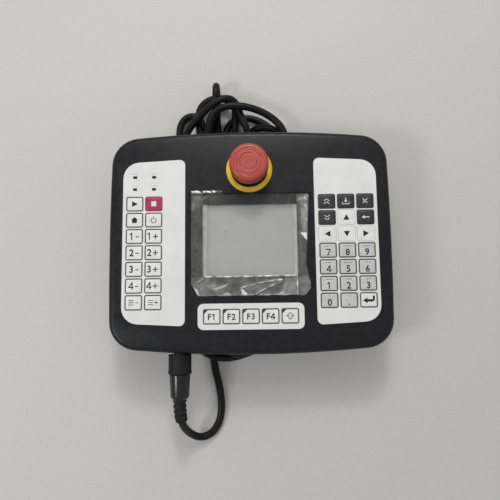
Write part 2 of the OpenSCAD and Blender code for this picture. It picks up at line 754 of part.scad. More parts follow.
module coupling_ring() color([0.15, 0.15, 0.16]) translate([socket_x, 0, socket_z]) {
    bore = plug_core_d / 2 + fit;
    far = ring_y - ring_len;
    turned_y([
        [bore, -ring_y], [ring_d / 2 - 0.6, -ring_y], [ring_d / 2, -ring_y + 0.6],
        [ring_d / 2, -far - 2.2], [ring_d / 2 + 0.25, -far - 1.6], [ring_d / 2 + 0.25, -far - 0.4],
        [ring_d / 2 - 0.3, -far], [bore, -far]]);
}

module cable_boot() color([0.1, 0.1, 0.1]) tube(BOOT, BOOT_R, 12);

module cable() color([0.1, 0.1, 0.11]) tube(CABLE, [for (p = CABLE) cable_d / 2], 12);

module cable_coil() color([0.12, 0.12, 0.13]) difference() {
    linear_extrude(coil_h) polygon(concat(
        arc(coil_low, coil_low_r, 180, 360, 20), arc(coil_high, coil_high_r, 0, 180, 20)));
    translate([coil_low[0], (coil_hole_low + coil_hole_high) / 2, 0])
        plate(box_outline(coil_hole_w, coil_hole_high - coil_hole_low, coil_hole_r), -1, coil_h + 2);
}

module controller_plug() color([0.16, 0.16, 0.17])
    translate([coil_low[0], 0, far_plug_d / 2]) {
        r = far_plug_d / 2;
        tip = coil_hole_high - far_plug_len;
        sleeve = coil_hole_high - far_sleeve_len;
        turned_y([
            [0, -coil_hole_high], [cable_d / 2 + 1, -coil_hole_high], [cable_d / 2 + 2, -sleeve],
            [r - 1, 3 - sleeve], [r, 5 - sleeve], [r, -tip - far_barrel_len],
            [r - far_barrel_step, -tip - far_barrel_len], [r - far_barrel_step, -tip], [0, -tip]]);
    }

// ---- The pendant -----------------------------------------------------------

front_cover();
rear_cover();
case_seal();
screws();
key_panels();
display_window();
display_module();
display_film();
main_board();
stop_head();
stop_stem();
stop_collar();
stop_switch_block();
cable_socket();
cable_plug();
coupling_ring();
cable_boot();
cable();
cable_coil();
controller_plug();
for (k = KEYS) color(key_colour(k[0])) key(k);
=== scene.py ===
# %% [markdown]
# # A robot teach pendant, dressed for its picture
# A teach pendant is the hand-held keyboard with which a small robot is taught its positions.
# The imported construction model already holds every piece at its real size. This lesson gives
# those pieces their looks: moulded plastic with its grain, printed and embossed key caps, a
# crumpled protective film over the display, and a black cable wound up under the case.
# Everything is in metres, and in the same frame as the construction model.

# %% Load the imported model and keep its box
import math

import bmesh
import bpy
import numpy as np
from mathutils import Matrix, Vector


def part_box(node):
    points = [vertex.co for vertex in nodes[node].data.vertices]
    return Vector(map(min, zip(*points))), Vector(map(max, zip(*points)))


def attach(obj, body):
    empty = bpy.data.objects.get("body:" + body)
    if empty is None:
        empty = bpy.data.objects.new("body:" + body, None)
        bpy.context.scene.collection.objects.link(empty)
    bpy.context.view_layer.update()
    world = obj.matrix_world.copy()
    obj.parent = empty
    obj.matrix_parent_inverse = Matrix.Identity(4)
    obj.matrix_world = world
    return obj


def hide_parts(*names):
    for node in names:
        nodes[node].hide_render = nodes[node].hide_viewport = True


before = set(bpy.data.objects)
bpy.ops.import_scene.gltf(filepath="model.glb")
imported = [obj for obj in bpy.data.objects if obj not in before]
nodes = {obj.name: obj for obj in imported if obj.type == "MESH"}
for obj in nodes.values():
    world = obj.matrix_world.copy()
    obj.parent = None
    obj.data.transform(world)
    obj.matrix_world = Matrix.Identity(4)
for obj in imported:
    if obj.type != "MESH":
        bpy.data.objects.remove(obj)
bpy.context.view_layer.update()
MM = 0.001


def in_scene(name, data):
    """A new object with this data, linked into the scene."""
    thing = bpy.data.objects.new(name, data)
    bpy.context.scene.collection.objects.link(thing)
    return thing


# %% [markdown]
# ## The camera
# The pendant lies face up and the camera hangs almost straight above it, a little towards the
# lower edge. A camera looks along its own -Z, so an untouched one looks straight down. Three
# small turns lean it, and a 37 mm lens on a 36 mm sensor takes in the case and its cable.

# %% Camera above the face
CAMERA_PLACE = (0.0048, -0.0667, 0.5078)
CAMERA_LEAN = (7.228, 0.622, -0.798)  # degrees about X, Y and Z
LENS, SENSOR = 37.44, 36  # millimetres

camera = in_scene("camera", bpy.data.cameras.new("camera"))
turns = [Matrix.Rotation(math.radians(a), 4, axis) for a, axis in zip(CAMERA_LEAN, "XYZ")]
camera.matrix_world = Matrix.Translation(CAMERA_PLACE) @ turns[0] @ turns[1] @ turns[2]
camera.data.lens = LENS
camera.data.sensor_width = SENSOR
camera.data.clip_start = 0.01
bpy.context.scene.camera = camera
bpy.context.scene.view_settings.view_transform = "Standard"
print("camera at", CAMERA_PLACE)

# %% [markdown]
# ## Meshes from arrays
# Most new pieces here are surfaces worked out with numpy. A grid of points becomes a mesh by
# joining each point to the next one along its row and to the one in the next row. When a
# direction is closed, the last point joins the first. The two ends of a tube get a cap each, so
# that the surface has an inside and an outside.

# %% Helpers that turn arrays into pieces
def grid_quads(rows, columns, around=True):
    """Four corners of each cell of a rows x columns grid; around joins the last column to the first."""
    r, c = np.meshgrid(np.arange(rows - 1), np.arange(columns if around else columns - 1), indexing="ij")
    after = (c + 1) % columns
    return np.stack([r * columns + c, r * columns + after, (r + 1) * columns + after,
                     (r + 1) * columns + c], axis=-1).reshape(-1, 4)


def tube_faces(rows, columns):
    """The quads of a closed tube, with one many-sided cap at each end, all facing outwards."""
    last = (rows - 1) * columns
    caps = [list(range(columns))[::-1], list(range(last, last + columns))]
    return grid_quads(rows, columns).tolist() + caps


def new_piece(name, points, faces, body, finish, slot, smooth=True, sharp=40):
    """Makes a mesh piece at the origin that rides on a body and has one finish."""
    mesh = bpy.data.meshes.new(name)
    mesh.from_pydata(np.asarray(points).tolist(), [], faces)
    mesh.update()
    piece = in_scene(name, mesh)
    dress(piece, finish)
    if smooth:
        mesh.shade_smooth()
        mesh.set_sharp_from_angle(angle=math.radians(sharp))
    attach(piece, body)
    return piece


def dress(piece, finish):
    """Puts one finish on a piece."""
    piece.data.materials.clear()
    piece.data.materials.append(finish)


def join_meshes(parts):
    """Several (points, faces) lists as one list of points and one of faces."""
    starts = np.cumsum([0] + [len(p) for p, _ in parts[:-1]])
    faces = [[i + s for i in face] for (_, part), s in zip(parts, starts) for face in part]
    return np.vstack([p for p, _ in parts]), faces


def smooth_step(x, low=0.0, high=1.0):
    """Nought below low, one above high, and a smooth rise between them."""
    t = np.clip((x - low) / (high - low), 0, 1)
    return t * t * (3 - 2 * t)


# %% [markdown]
# ## Shared surface effects
# Moulded plastic is never one flat colour. The mould leaves a fine grain, the pigment drifts a
# little over centimetres, and dust settles in specks. Each effect is a node group with named
# sockets, built once and used in every finish with its own values. A group hands out only a
# height, a mask or a colour: the shader itself stays in the material.

# %% Node groups for grain, drift and dust
def effect_group(name, inputs, outputs):
    """An empty node group with its inputs and outputs; returns the group and its two end nodes."""
    group = bpy.data.node_groups.new(name, "ShaderNodeTree")
    for label, kind, start in inputs:
        socket = group.interface.new_socket(label, in_out="INPUT", socket_type=kind)
        if start is not None:
            socket.default_value = start
    for label, kind in outputs:
        group.interface.new_socket(label, in_out="OUTPUT", socket_type=kind)
    return group, group.nodes.new("NodeGroupInput"), group.nodes.new("NodeGroupOutput")


FLOAT, COLOUR, VECTOR = "NodeSocketFloat", "NodeSocketColor", "NodeSocketVector"


def make_grain():
    """Height of a spark-eroded mould: fine noise that sinks to nothing in the pits of a cell pattern."""
    group, start, end = effect_group("Mould grain", [("Vector", VECTOR, None), ("Fineness", FLOAT, 1500.0)],
                                     [("Height", FLOAT)])
    noise = group.nodes.new("ShaderNodeTexNoise")
    noise.inputs["Detail"].default_value = 3
    pits = group.nodes.new("ShaderNodeTexVoronoi")
    both = group.nodes.new("ShaderNodeMath")
    both.operation = "MULTIPLY"
    for node in (noise, pits):
        group.links.new(start.outputs["Vector"], node.inputs["Vector"])
        group.links.new(start.outputs["Fineness"], node.inputs["Scale"])
    group.links.new(noise.outputs["Fac"], both.inputs[0])
    group.links.new(pits.outputs["Distance"], both.inputs[1])
    group.links.new(both.outputs[0], end.inputs["Height"])
    return group


def mixed_by_mask(group, start, end, noise, scale, mask, under, over):
    """Noise drives a mask, the mask mixes two colours of the group, and both are handed out."""
    mix = group.nodes.new("ShaderNodeMix")
    mix.data_type = "RGBA"
    for source, target in (
            (start.outputs["Vector"], noise.inputs["Vector"]), (start.outputs[scale], noise.inputs["Scale"]),
            (noise.outputs["Fac"], mask.inputs["Value"]), (mask.outputs["Result"], mix.inputs["Factor"]),
            (start.outputs[under], mix.inputs["A"]), (start.outputs[over], mix.inputs["B"]),
            (mix.outputs["Result"], end.inputs["Color"]), (mask.outputs["Result"], end.inputs["Mask"])):
        group.links.new(source, target)


def make_drift():
    """A colour that wanders between two shades, by broad noise with finer noise on it."""
    group, start, end = effect_group(
        "Colour drift", [("Vector", VECTOR, None), ("Shade", COLOUR, (0.5, 0.5, 0.5, 1)),
                         ("Other shade", COLOUR, (0.6, 0.6, 0.6, 1)), ("Breadth", FLOAT, 60.0)],
        [("Color", COLOUR), ("Mask", FLOAT)])
    noise = group.nodes.new("ShaderNodeTexNoise")
    noise.inputs["Detail"].default_value = 6
    noise.inputs["Roughness"].default_value = 0.62
    spread = group.nodes.new("ShaderNodeMapRange")
    spread.inputs["From Min"].default_value = 0.32
    spread.inputs["From Max"].default_value = 0.68
    mixed_by_mask(group, start, end, noise, "Breadth", spread, "Shade", "Other shade")
    return group


def make_dust():
    """Specks of dust: where fine noise passes a threshold, the clean colour gives way to the dust's."""
    group, start, end = effect_group(
        "Dust specks", [("Vector", VECTOR, None), ("Clean", COLOUR, (0.5, 0.5, 0.5, 1)),
                        ("Dust", COLOUR, (0.5, 0.49, 0.46, 1)), ("Fineness", FLOAT, 600.0),
                        ("Threshold", FLOAT, 0.66)],
        [("Color", COLOUR), ("Mask", FLOAT)])
    noise = group.nodes.new("ShaderNodeTexNoise")
    noise.inputs["Detail"].default_value = 2
    edge = group.nodes.new("ShaderNodeMath")
    edge.operation = "ADD"
    edge.inputs[1].default_value = 0.08
    speck = group.nodes.new("ShaderNodeMapRange")
    speck.inputs["To Max"].default_value = 0.55
    group.links.new(start.outputs["Threshold"], edge.inputs[0])
    group.links.new(start.outputs["Threshold"], speck.inputs["From Min"])
    group.links.new(edge.outputs[0], speck.inputs["From Max"])
    mixed_by_mask(group, start, end, noise, "Fineness", speck, "Clean", "Dust")
    return group


GRAIN, DRIFT, DUST = make_grain(), make_drift(), make_dust()
print("effect groups", [g.name for g in (GRAIN, DRIFT, DUST)])

# %% [markdown]
# ## One recipe for moulded plastic
# Case, keys, plug and cable are all plastics. They differ in colour, gloss, grain and in how much
# dust shows on them. So one function builds the finish from those facts: drift gives the base
# colour, dust lies over it, the drift's mask also makes the gloss uneven, and the grain is a bump.
# Numbers that are the same all over go straight onto the shader's own sockets.

# %% The moulded finish
def moulded(name, colour, other=None, gloss=0.45, gloss_change=0.08, grain=1500.0, depth=0.03,
            breadth=60.0, dust=None, dust_level=0.67, dust_fineness=600.0, sockets=()):
    """A plastic finish. colour and other are its two shades, gloss is its roughness, depth is in mm."""
    finish = bpy.data.materials.new(name)
    finish.use_nodes = True
    tree = finish.node_tree
    shader = tree.nodes["Principled BSDF"]
    place = tree.nodes.new("ShaderNodeTexCoord")

    def effect(group, **values):
        node = tree.nodes.new("ShaderNodeGroup")
        node.node_tree = group
        tree.links.new(place.outputs["Object"], node.inputs["Vector"])
        for label, value in values.items():
            node.inputs[label.replace("_", " ")].default_value = value
        return node

    other = other or tuple(c * 1.25 for c in colour)
    drift = effect(DRIFT, Shade=(*colour, 1), Other_shade=(*other, 1), Breadth=breadth)
    base = drift.outputs["Color"]
    if dust is not None:
        specks = effect(DUST, Dust=(*dust, 1), Threshold=dust_level, Fineness=dust_fineness)
        tree.links.new(base, specks.inputs["Clean"])
        base = specks.outputs["Color"]
    tree.links.new(base, shader.inputs["Base Color"])
    uneven = tree.nodes.new("ShaderNodeMapRange")
    uneven.inputs["To Min"].default_value = gloss - gloss_change
    uneven.inputs["To Max"].default_value = gloss + gloss_change
    tree.links.new(drift.outputs["Mask"], uneven.inputs["Value"])
    tree.links.new(uneven.outputs["Result"], shader.inputs["Roughness"])
    if depth:
        height = effect(GRAIN, Fineness=grain)
        bump = tree.nodes.new("ShaderNodeBump")
        bump.inputs["Strength"].default_value = 0.8
        bump.inputs["Distance"].default_value = depth * MM
        tree.links.new(height.outputs["Height"], bump.inputs["Height"])
        tree.links.new(bump.outputs["Normal"], shader.inputs["Normal"])
    for label, value in dict(sockets).items():
        shader.inputs[label].default_value = value
    return finish


# %% [markdown]
# ## Floor and light
# The pendant lies on a pale, finely speckled floor. Two lamps stand high beyond its top edge, a
# large soft one and a small one, so that the lower edge throws a soft shadow and the rounded top
# edge catches a bright line. A weaker lamp on the left draws the line of light along the plug.
# None of them stands near the camera, because a flat black face shows a lamp there as haze. An
# even world light fills the rest.

# %% Floor, world and lamps
FLOOR_HALF = 6.0
floor_mesh = bpy.data.meshes.new("floor")
floor_mesh.from_pydata([(-FLOOR_HALF, -FLOOR_HALF, 0), (FLOOR_HALF, -FLOOR_HALF, 0),
                        (FLOOR_HALF, FLOOR_HALF, 0), (-FLOOR_HALF, FLOOR_HALF, 0)], [], [(0, 1, 2, 3)])
floor = in_scene("floor", floor_mesh)
floor_mesh.materials.append(moulded(
    "pale floor", (0.575, 0.562, 0.534), (0.605, 0.592, 0.562), gloss=0.6, grain=420.0, depth=0.10,
    breadth=900.0, dust=(0.44, 0.425, 0.395), dust_level=0.585, dust_fineness=640.0,
    sockets={"Specular IOR Level": 0.3}))


def lamp(name, place, target, size, watts, tint=(1, 1, 1)):
    """A square soft lamp at a place, turned to look at a target."""
    light = bpy.data.lights.new(name, "AREA")
    light.shape, light.size, light.energy, light.color = "SQUARE", size, watts, tint
    holder = in_scene(name, light)
    aim = np.array(target) - np.array(place)
    back = -aim / np.linalg.norm(aim)
    side = np.cross((0.0, 0.0, 1.0), back)
    side /= np.linalg.norm(side)
    up = np.cross(back, side)
    turn = Matrix(np.column_stack([side, up, back]).tolist()).to_4x4()
    holder.matrix_world = Matrix.Translation(place) @ turn


lamp("ceiling panel", (-0.06, 0.84, 1.10), (0, 0.05, 0.03), 0.60, 4.0, (1.0, 0.99, 0.97))
lamp("window behind", (0.02, 0.88, 0.96), (0, 0, 0.03), 0.18, 3.6, (1.0, 0.985, 0.96))
lamp("lamp on the left", (-0.72, -0.29, 0.86), (0, 0, 0.03), 0.22, 2.8, (0.96, 0.98, 1.0))
world = bpy.data.worlds.new("room")
world.use_nodes = True
world.node_tree.nodes["Background"].inputs["Color"].default_value = (0.97, 0.98, 1.0, 1)
world.node_tree.nodes["Background"].inputs["Strength"].default_value = 0.48
bpy.context.scene.world = world

# %% [markdown]
# ## The cable's route
# The cable is five metres of round 7 mm cable. It leaves the boot at the lower edge, falls to the
# floor in one small bow and goes in under the case. There it is wound up in long turns, as
# someone winds it over hand and elbow, and the turns' upper ends stand out past the top edge.
# A wound cable is made here in three steps. First each turn is written as a few facts: the two
# columns that it runs in, how far it reaches and at which height. Then the whole line is cut to
# equal steps of 3 mm. At last the strands settle: wherever two come closer than a diameter they
# push each other apart, a little in each round and smoothly along the line. At some crossings the
# sheaths still sink up to 1.5 mm into each other. Lengths in this cell are in millimetres.

# %% Winding the cable
CABLE_D = 7.0
STEP = 3.0
CABLE = np.array([  # from the boot down to the floor and in under the case
    [-62.5, -155.9, 36.4], [-62.2, -160, 32.6], [-61.2, -164.5, 27.2], [-59.2, -169, 20.6],
    [-56, -173.4, 14], [-51.4, -176.8, 8.6], [-46, -177.8, 5.2], [-40.4, -175.8, 3.8],
    [-35.6, -171.4, 3.5], [-32, -165.2, 3.5], [-30, -158, 3.5], [-29.3, -150, 3.5],
    [-29.8, -142, 3.5], [-31, -134, 3.5], [-32.8, -126, 3.5], [-34.8, -118, 3.5],
    [-36.2, -110, 3.5], [-37, -102, 3.5], [-37.4, -94, 3.5]])
# two turns are written point by point, because they cross over others at their upper ends
OUTER_TURN = np.array([
    [-46.5, 108, 10], [-48.5, 118, 10.2], [-50.6, 128, 10.8], [-50.3, 136.5, 11.5], [-46.3, 143.7, 12.3],
    [-39.8, 148, 12.8], [-32.3, 149.6, 13], [-23.6, 149.1, 12.6], [-16.2, 146.1, 11.5], [-13.0, 140.4, 9],
    [-13.8, 133.5, 7.5], [-15.6, 126, 6.5], [-17.2, 117, 6], [-17.8, 108, 6]])
SLANTED_TURN = np.array([
    [-64.5, 106, 16], [-60.3, 114, 17.2], [-52.2, 122.8, 19], [-42.8, 132.3, 21.5], [-34.2, 138.6, 23.6],
    [-26.0, 143.2, 24], [-19.0, 144.6, 22.5], [-13.6, 142.2, 19.4], [-11.9, 136, 15.8],
    [-10.9, 129.4, 13.8], [-7.4, 121.6, 13], [-3.6, 114, 12.6], [-1.5, 106, 12.4]])
# each turn: its upper end (left column, right column, reach, lean, height) or its points,
# then its lower end (right column, left column, reach, height)
TURNS = [
    ((-70.5, -43.5, 136.0, 1.0, 3.5), (12.0, -36.0, -90.0, 3.5)),
    ((-26.5, 30.0, 131.5, 1.35, 3.5), (22.0, -30.0, -86.0, 10.5)),
    ((-20.0, 20.0, 108.0, 1.0, 10.5), (26.0, -50.0, -97.0, 10.5)),
    (OUTER_TURN, (18.0, -34.0, -90.0, 10.5)),
    ((-9.0, 38.0, 120.0, 1.03, 10.5), (30.0, -65.0, -97.5, 10.5)),
    (SLANTED_TURN, (14.0, -45.0, -89.0, 17.5)),
    ((-30.0, 12.0, 106.0, 1.0, 17.5), (20.0, -55.0, -92.5, 17.5)),
    ((-43.0, 36.0, 138.0, 1.55, 19.5), (31.0, -50.0, -96.0, 17.5)),
]
BIGHT = dict(x=-32.0, y=150.8, low=3.5, radius=9.8)  # one bend of it stands on edge
BIGHT_ENTRY = 118.0  # how far up the strand runs straight before that bend
FIRST_END = (-10.0, -60.0, -94.0, 1.0, 12.0)  # the lower end after it: two columns, reach, lean, height
LAST_COLUMN, LAST_FOOT, LAST_REACH, LAST_LIFT = -51.5, 97.0, 111.5, 9.0  # the upper end before the plug
PLUG_END = (-17.5, 92.0, 8.5)  # where the cable goes into the plug at its far end
END_SHARE, END_LEAST, END_MOST = 0.525, 10, 34  # a round end's depth: share of its width, and limits
RUN_STEP = 18  # between the points of a straight run
BOW_LENGTH = 165  # of cable, from the boot down to the floor
NEIGHBOURS = 3.5 * CABLE_D  # points closer than this along the line don't push each other
WATCHED = CABLE_D * 1.4  # pairs closer than this are looked at in each round
SPACING = CABLE_D * 1.02  # the distance that pushed strands go for
UNDER_CASE, BETWEEN_GRIPS = 101, 79  # how far the case and its grips reach to either side in y
VALLEY, HEADROOM = 66.4, 18.4  # how far aside and how high the cable's middle can go there
ROUNDS = 300


def half_turn(x0, x1, foot, reach, lean, z, count=16):
    """Half a turn: y rises as a sine, x crosses as a cosine, and lean moves the crossing sideways."""
    t = np.linspace(0, 1, count)
    s = (1 - np.cos(np.pi * t)) / 2
    share = s ** lean if lean >= 1 else 1 - (1 - s) ** (1 / lean)
    return np.column_stack([x0 + (x1 - x0) * share, foot + (reach - foot) * np.sin(np.pi * t),
                            np.full(count, z)])


def turn_end(x0, x1, reach, lean, z, side):
    """The round end of a turn between two columns; side is 1 for an upper end and -1 for a lower one."""
    foot = reach - side * np.clip(abs(x1 - x0) * END_SHARE, END_LEAST, END_MOST)
    return half_turn(x0, x1, foot, reach, lean, z)


def straight(a, b):
    """A run from a to b in even steps; x and z pass over as a smooth step, y evenly."""
    a, b = np.asarray(a, float), np.asarray(b, float)
    count = max(3, int(np.linalg.norm(b - a) / RUN_STEP))
    t = np.linspace(0, 1, count + 1)[1:-1, None]
    run = a + (b - a) * smooth_step(t)
    run[:, 1] = (a + (b - a) * t)[:, 1]
    return run


def standing_bend(x, y, low, radius):
    """A bend on edge: up over the top in the plane of y and z, then down again beside its own way in."""
    t = np.radians(np.linspace(-90, 128, 14))
    arc = np.column_stack([np.full(len(t), x), y + radius * np.cos(t), low + radius * (1 + np.sin(t))])
    legs = np.array([[x, y - 26, low], [x, y - 17, low], [x, y - 8, low]])
    back = np.array([[x - 0.8, 138, 15.2], [x - 3.0, 130.5, 10.6], [x - 5.2, 121, 8], [x - 6.2, 111, 7]])
    return np.vstack([legs, arc, back])


def whole_route():
    """The line from the boot through every turn to the far plug, before it settles."""
    plug_x, plug_y, plug_z = PLUG_END
    parts = [CABLE, straight(CABLE[-1], (BIGHT["x"], BIGHT_ENTRY, BIGHT["low"])), standing_bend(**BIGHT)]
    first_low = turn_end(*FIRST_END, side=-1)
    parts += [straight(parts[-1][-1], first_low[0]), first_low]
    for over, (low_right, low_left, low_reach, low_z) in TURNS:
        if len(over) == 5:
            over = turn_end(*over, side=1)
        under = turn_end(low_right, low_left, low_reach, 1.0, low_z, side=-1)
        parts += [straight(parts[-1][-1], over[0]), over, straight(over[-1], under[0]), under]
    last = half_turn(LAST_COLUMN, plug_x, LAST_FOOT, LAST_REACH, 1.0, plug_z)
    last[:, 2] += LAST_LIFT * np.linspace(1, 0, len(last)) ** 2
    parts += [straight(parts[-1][-1], last[0]), last, [(plug_x, plug_y + 3, plug_z), PLUG_END]]
    return np.vstack(parts)


def cubic_weights(t):
    """How much the start, its slope, the end and its slope count at t along a cubic piece."""
    return 2 * t**3 - 3 * t**2 + 1, t**3 - 2 * t**2 + t, 3 * t**2 - 2 * t**3, t**3 - t**2


def even_steps(points, step):
    """The same line in steps of one length, each coordinate read off a cubic through the points."""
    along = np.r_[0, np.cumsum(np.linalg.norm(np.diff(points, axis=0), axis=1))]
    slope = np.gradient(points, along, axis=0)
    for _ in range(2):
        s = np.linspace(0, along[-1], max(int(along[-1] / step), 2) + 1)
        i = np.clip(np.searchsorted(along, s, side="right") - 1, 0, len(along) - 2)
        h = (along[i + 1] - along[i])[:, None]
        t = (s - along[i])[:, None] / h
        p, q, dp, dq = points[i], points[i + 1], slope[i] * h, slope[i + 1] * h
        points = sum(w * v for w, v in zip(cubic_weights(t), (p, dp, q, dq)))
        along = np.r_[0, np.cumsum(np.linalg.norm(np.diff(points, axis=0), axis=1))]
        slope = np.gradient(points, along, axis=0)
    return points


def bell(width):
    """Weights of a bell curve over 24 steps to either side, adding up to one."""
    w = np.exp(-0.5 * (np.arange(-24, 25) / width) ** 2)
    return w / w.sum()


def blurred(field, weights):
    """Each column of a field, averaged along the line."""
    return np.column_stack([np.convolve(field[:, k], weights, mode="same") for k in range(3)])


def eased(points, free, weights):
    """The line averaged along itself, mirrored through its ends; free says how far each point gives."""
    m = len(weights) // 2
    longer = np.vstack([2 * points[0] - points[m:0:-1], points, 2 * points[-1] - points[-2:-m - 2:-1]])
    mean = np.column_stack([np.convolve(longer[:, k], weights, mode="valid") for k in range(3)])
    return points + (mean - points) * free[:, None]


def settled(points, held, rounds, spread=6.0, stiffness=2.5, gain=0.3):
    """Pushes strands closer than a diameter apart, round by round, by smooth moves of the line."""
    wide, narrow = bell(spread), bell(stiffness)
    apart = int(np.ceil(NEIGHBOURS / STEP))
    free = np.clip(2 * np.convolve((~held).astype(float), wide, mode="same") - 1, 0, 1)
    moved = points.copy()
    line = eased(moved, free, narrow)
    for turn in range(rounds):
        if turn % 10 == 0:
            gaps = np.sqrt(((line[:, None, :] - line[None, :, :]) ** 2).sum(-1))
            i, j = np.where(np.triu(gaps < WATCHED, apart))
        between = line[i] - line[j]
        short = np.clip(SPACING - np.linalg.norm(between, axis=1), 0, None)
        lifted = between * [0.3, 0.3, 1.0]  # rather up and down than aside
        lifted[np.abs(lifted[:, 2]) < 0.2, 2] += 0.4
        push = lifted / np.linalg.norm(lifted, axis=1)[:, None] * short[:, None]
        force = np.zeros_like(line)
        np.add.at(force, i, push)
        np.add.at(force, j, -push)
        below_case = np.abs(line[:, 1]) < UNDER_CASE
        between_grips = np.abs(line[:, 1]) < BETWEEN_GRIPS
        rise = np.maximum(CABLE_D / 2 - line[:, 2], 0) - below_case * np.maximum(line[:, 2] - HEADROOM, 0)
        aside = between_grips * (np.clip(line[:, 0], -VALLEY, VALLEY) - line[:, 0])
        walls = np.column_stack([aside, 0 * aside, rise])
        moved += (blurred(force, wide) * gain + blurred(walls, wide) * 2) * free[:, None]
        line = eased(moved, free, narrow)
    return line


def tightest(points):
    """The smallest radius of a circle through three points, each two steps from the next, and its place."""
    a, b, c = points[:-4], points[2:-2], points[4:]
    ab, bc, ca = (np.linalg.norm(v, axis=1) for v in (b - a, c - b, a - c))
    area = np.linalg.norm(np.cross(b - a, c - a), axis=1) / 2
    radius = ab * bc * ca / np.maximum(4 * area, 1e-9)
    return radius.min(), points[2 + radius.argmin()].round()


route = even_steps(whole_route(), STEP)
from_boot = np.r_[0, np.cumsum(np.linalg.norm(np.diff(route, axis=0), axis=1))]
held = from_boot < BOW_LENGTH
held |= (from_boot < 500) & (route[:, 1] > 128)  # the bend on edge keeps its shape
held[-12:] = True  # and so does the end that goes into the plug
route = settled(route, held, ROUNDS)
route[:, 2] = np.maximum(route[:, 2], CABLE_D / 2)
length = np.linalg.norm(np.diff(route, axis=0), axis=1).sum()
print("cable length mm", round(length), "tightest bend", tightest(route))

# %% [markdown]
# ## Carrying a circle along a line
# The cable and the boot are round in section and they bend, so one function makes both: it
# carries a circle, whose radius may change, along a line of points. The circle must not twist on
# the way. So each ring takes the direction of the last one and only drops what has come to lie
# along the line.

# %% The tube function, and the cable itself
def carried_frames(points):
    """A sideways and an upward direction at each point, each the last one made square to the line."""
    ahead = np.gradient(points, axis=0)
    ahead /= np.linalg.norm(ahead, axis=1)[:, None]
    side = np.empty_like(points)
    start = np.cross(ahead[0], (0.31, 0.17, 0.93))
    side[0] = start / np.linalg.norm(start)
    for k in range(1, len(points)):
        square = side[k - 1] - ahead[k] * side[k - 1].dot(ahead[k])
        side[k] = square / np.linalg.norm(square)
    return side, np.cross(ahead, side)


def round_section(points, radii, sides):
    """Point (k, a) is the line's point k plus radius k times (cos a on one side, sin a on the other)."""
    side, up = carried_frames(points)
    angle = np.linspace(0, 2 * np.pi, sides, endpoint=False)
    ring = (side[:, None] * np.cos(angle)[None, :, None] + up[:, None] * np.sin(angle)[None, :, None])
    grid = points[:, None] + ring * np.broadcast_to(radii, len(points))[:, None, None]
    return grid.reshape(-1, 3), tube_faces(len(points), sides)


cable_finish = moulded("cable sheath", (0.005, 0.005, 0.006), (0.011, 0.011, 0.0125), gloss=0.40,
                       grain=900.0, depth=0.04, breadth=90.0, dust=(0.10, 0.096, 0.088),
                       dust_level=0.71, dust_fineness=500.0, sockets={"Specular IOR Level": 0.18})
cable_path = route * MM
cable = new_piece("cable_run", *round_section(cable_path, CABLE_D / 2 * MM, 14), "pendant",
                  cable_finish, "cable_black", sharp=80)
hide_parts("cable", "cable_coil")
print("cable points", len(cable_path))

# %% [markdown]
# ## The plug, its ring and its boot
# The cable ends in a round plug. A matt ring with a lip at its lower end couples it to the
# pendant and turns through a sixth of a turn. Below it comes a glossy tapered body, and last a
# soft boot with ribs, which bends down with the cable. Ring and body are straight, so they are
# profiles turned about the plug's line. The boot is made by the tube function.

# %% Ring, body and boot
def turned_along_y(name, x, z, profile, sides, body, finish, slot):
    """A profile of (y, radius) pairs in metres, turned about a line along Y at the given x and z."""
    profile = np.array(profile)
    angle = np.linspace(0, 2 * np.pi, sides, endpoint=False)
    grid = np.stack([x + profile[:, 1:] * np.cos(angle), np.repeat(profile[:, :1], sides, 1),
                     z + profile[:, 1:] * np.sin(angle)], axis=-1)
    faces = tube_faces(len(profile), sides)
    if profile[0, 0] < profile[-1, 0]:
        faces = [face[::-1] for face in faces]
    return new_piece(name, grid.reshape(-1, 3), faces, body, finish, slot, sharp=35)


def rounded_profile(corners, bend, count=4):
    """The (y, radius) corners with each inner one replaced by a short arc, bend long to either side."""
    corners = np.array(corners, float)
    out = [corners[:1]]
    for before, here, after in zip(corners[:-2], corners[1:-1], corners[2:]):
        reach = min(bend, 0.45 * np.linalg.norm(here - before), 0.45 * np.linalg.norm(after - here))
        a = here + (before - here) / np.linalg.norm(before - here) * reach
        b = here + (after - here) / np.linalg.norm(after - here) * reach
        t = np.linspace(0, 1, count)[:, None]
        out.append((1 - t) ** 2 * a + 2 * t * (1 - t) * here + t**2 * b)
    return np.vstack(out + [corners[-1:]])


ring_low, ring_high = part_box("coupling_ring")
plug_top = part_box("cable_plug")[1][1]
boot_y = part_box("cable_boot")[1][1]
PLUG_X, PLUG_Z = -63.3, 41.0  # the plug's line, in millimetres
ring_r = (ring_high[0] - ring_low[0]) / 2
ring_top, ring_end = ring_high[1], ring_low[1]

ring_finish = moulded("coupling ring", (0.008, 0.008, 0.009), (0.014, 0.014, 0.015), gloss=0.5,
                      grain=1700.0, depth=0.03, dust=(0.08, 0.08, 0.08), dust_level=0.68,
                      sockets={"Specular IOR Level": 0.2})
lip = 0.3 * MM
ring = turned_along_y("ring_shell", PLUG_X * MM, PLUG_Z * MM, rounded_profile([
    (ring_top, 0.0065), (ring_top, ring_r - lip - 0.2 * MM), (ring_top - 0.2 * MM, ring_r - lip),
    (ring_end + 2.9 * MM, ring_r - lip), (ring_end + 2.5 * MM, ring_r), (ring_end + 0.6 * MM, ring_r),
    (ring_end, ring_r - 0.6 * MM), (ring_end, 0.0065)], 0.25 * MM), 96, "coupling_ring", ring_finish,
    "ring_black")
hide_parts("coupling_ring")

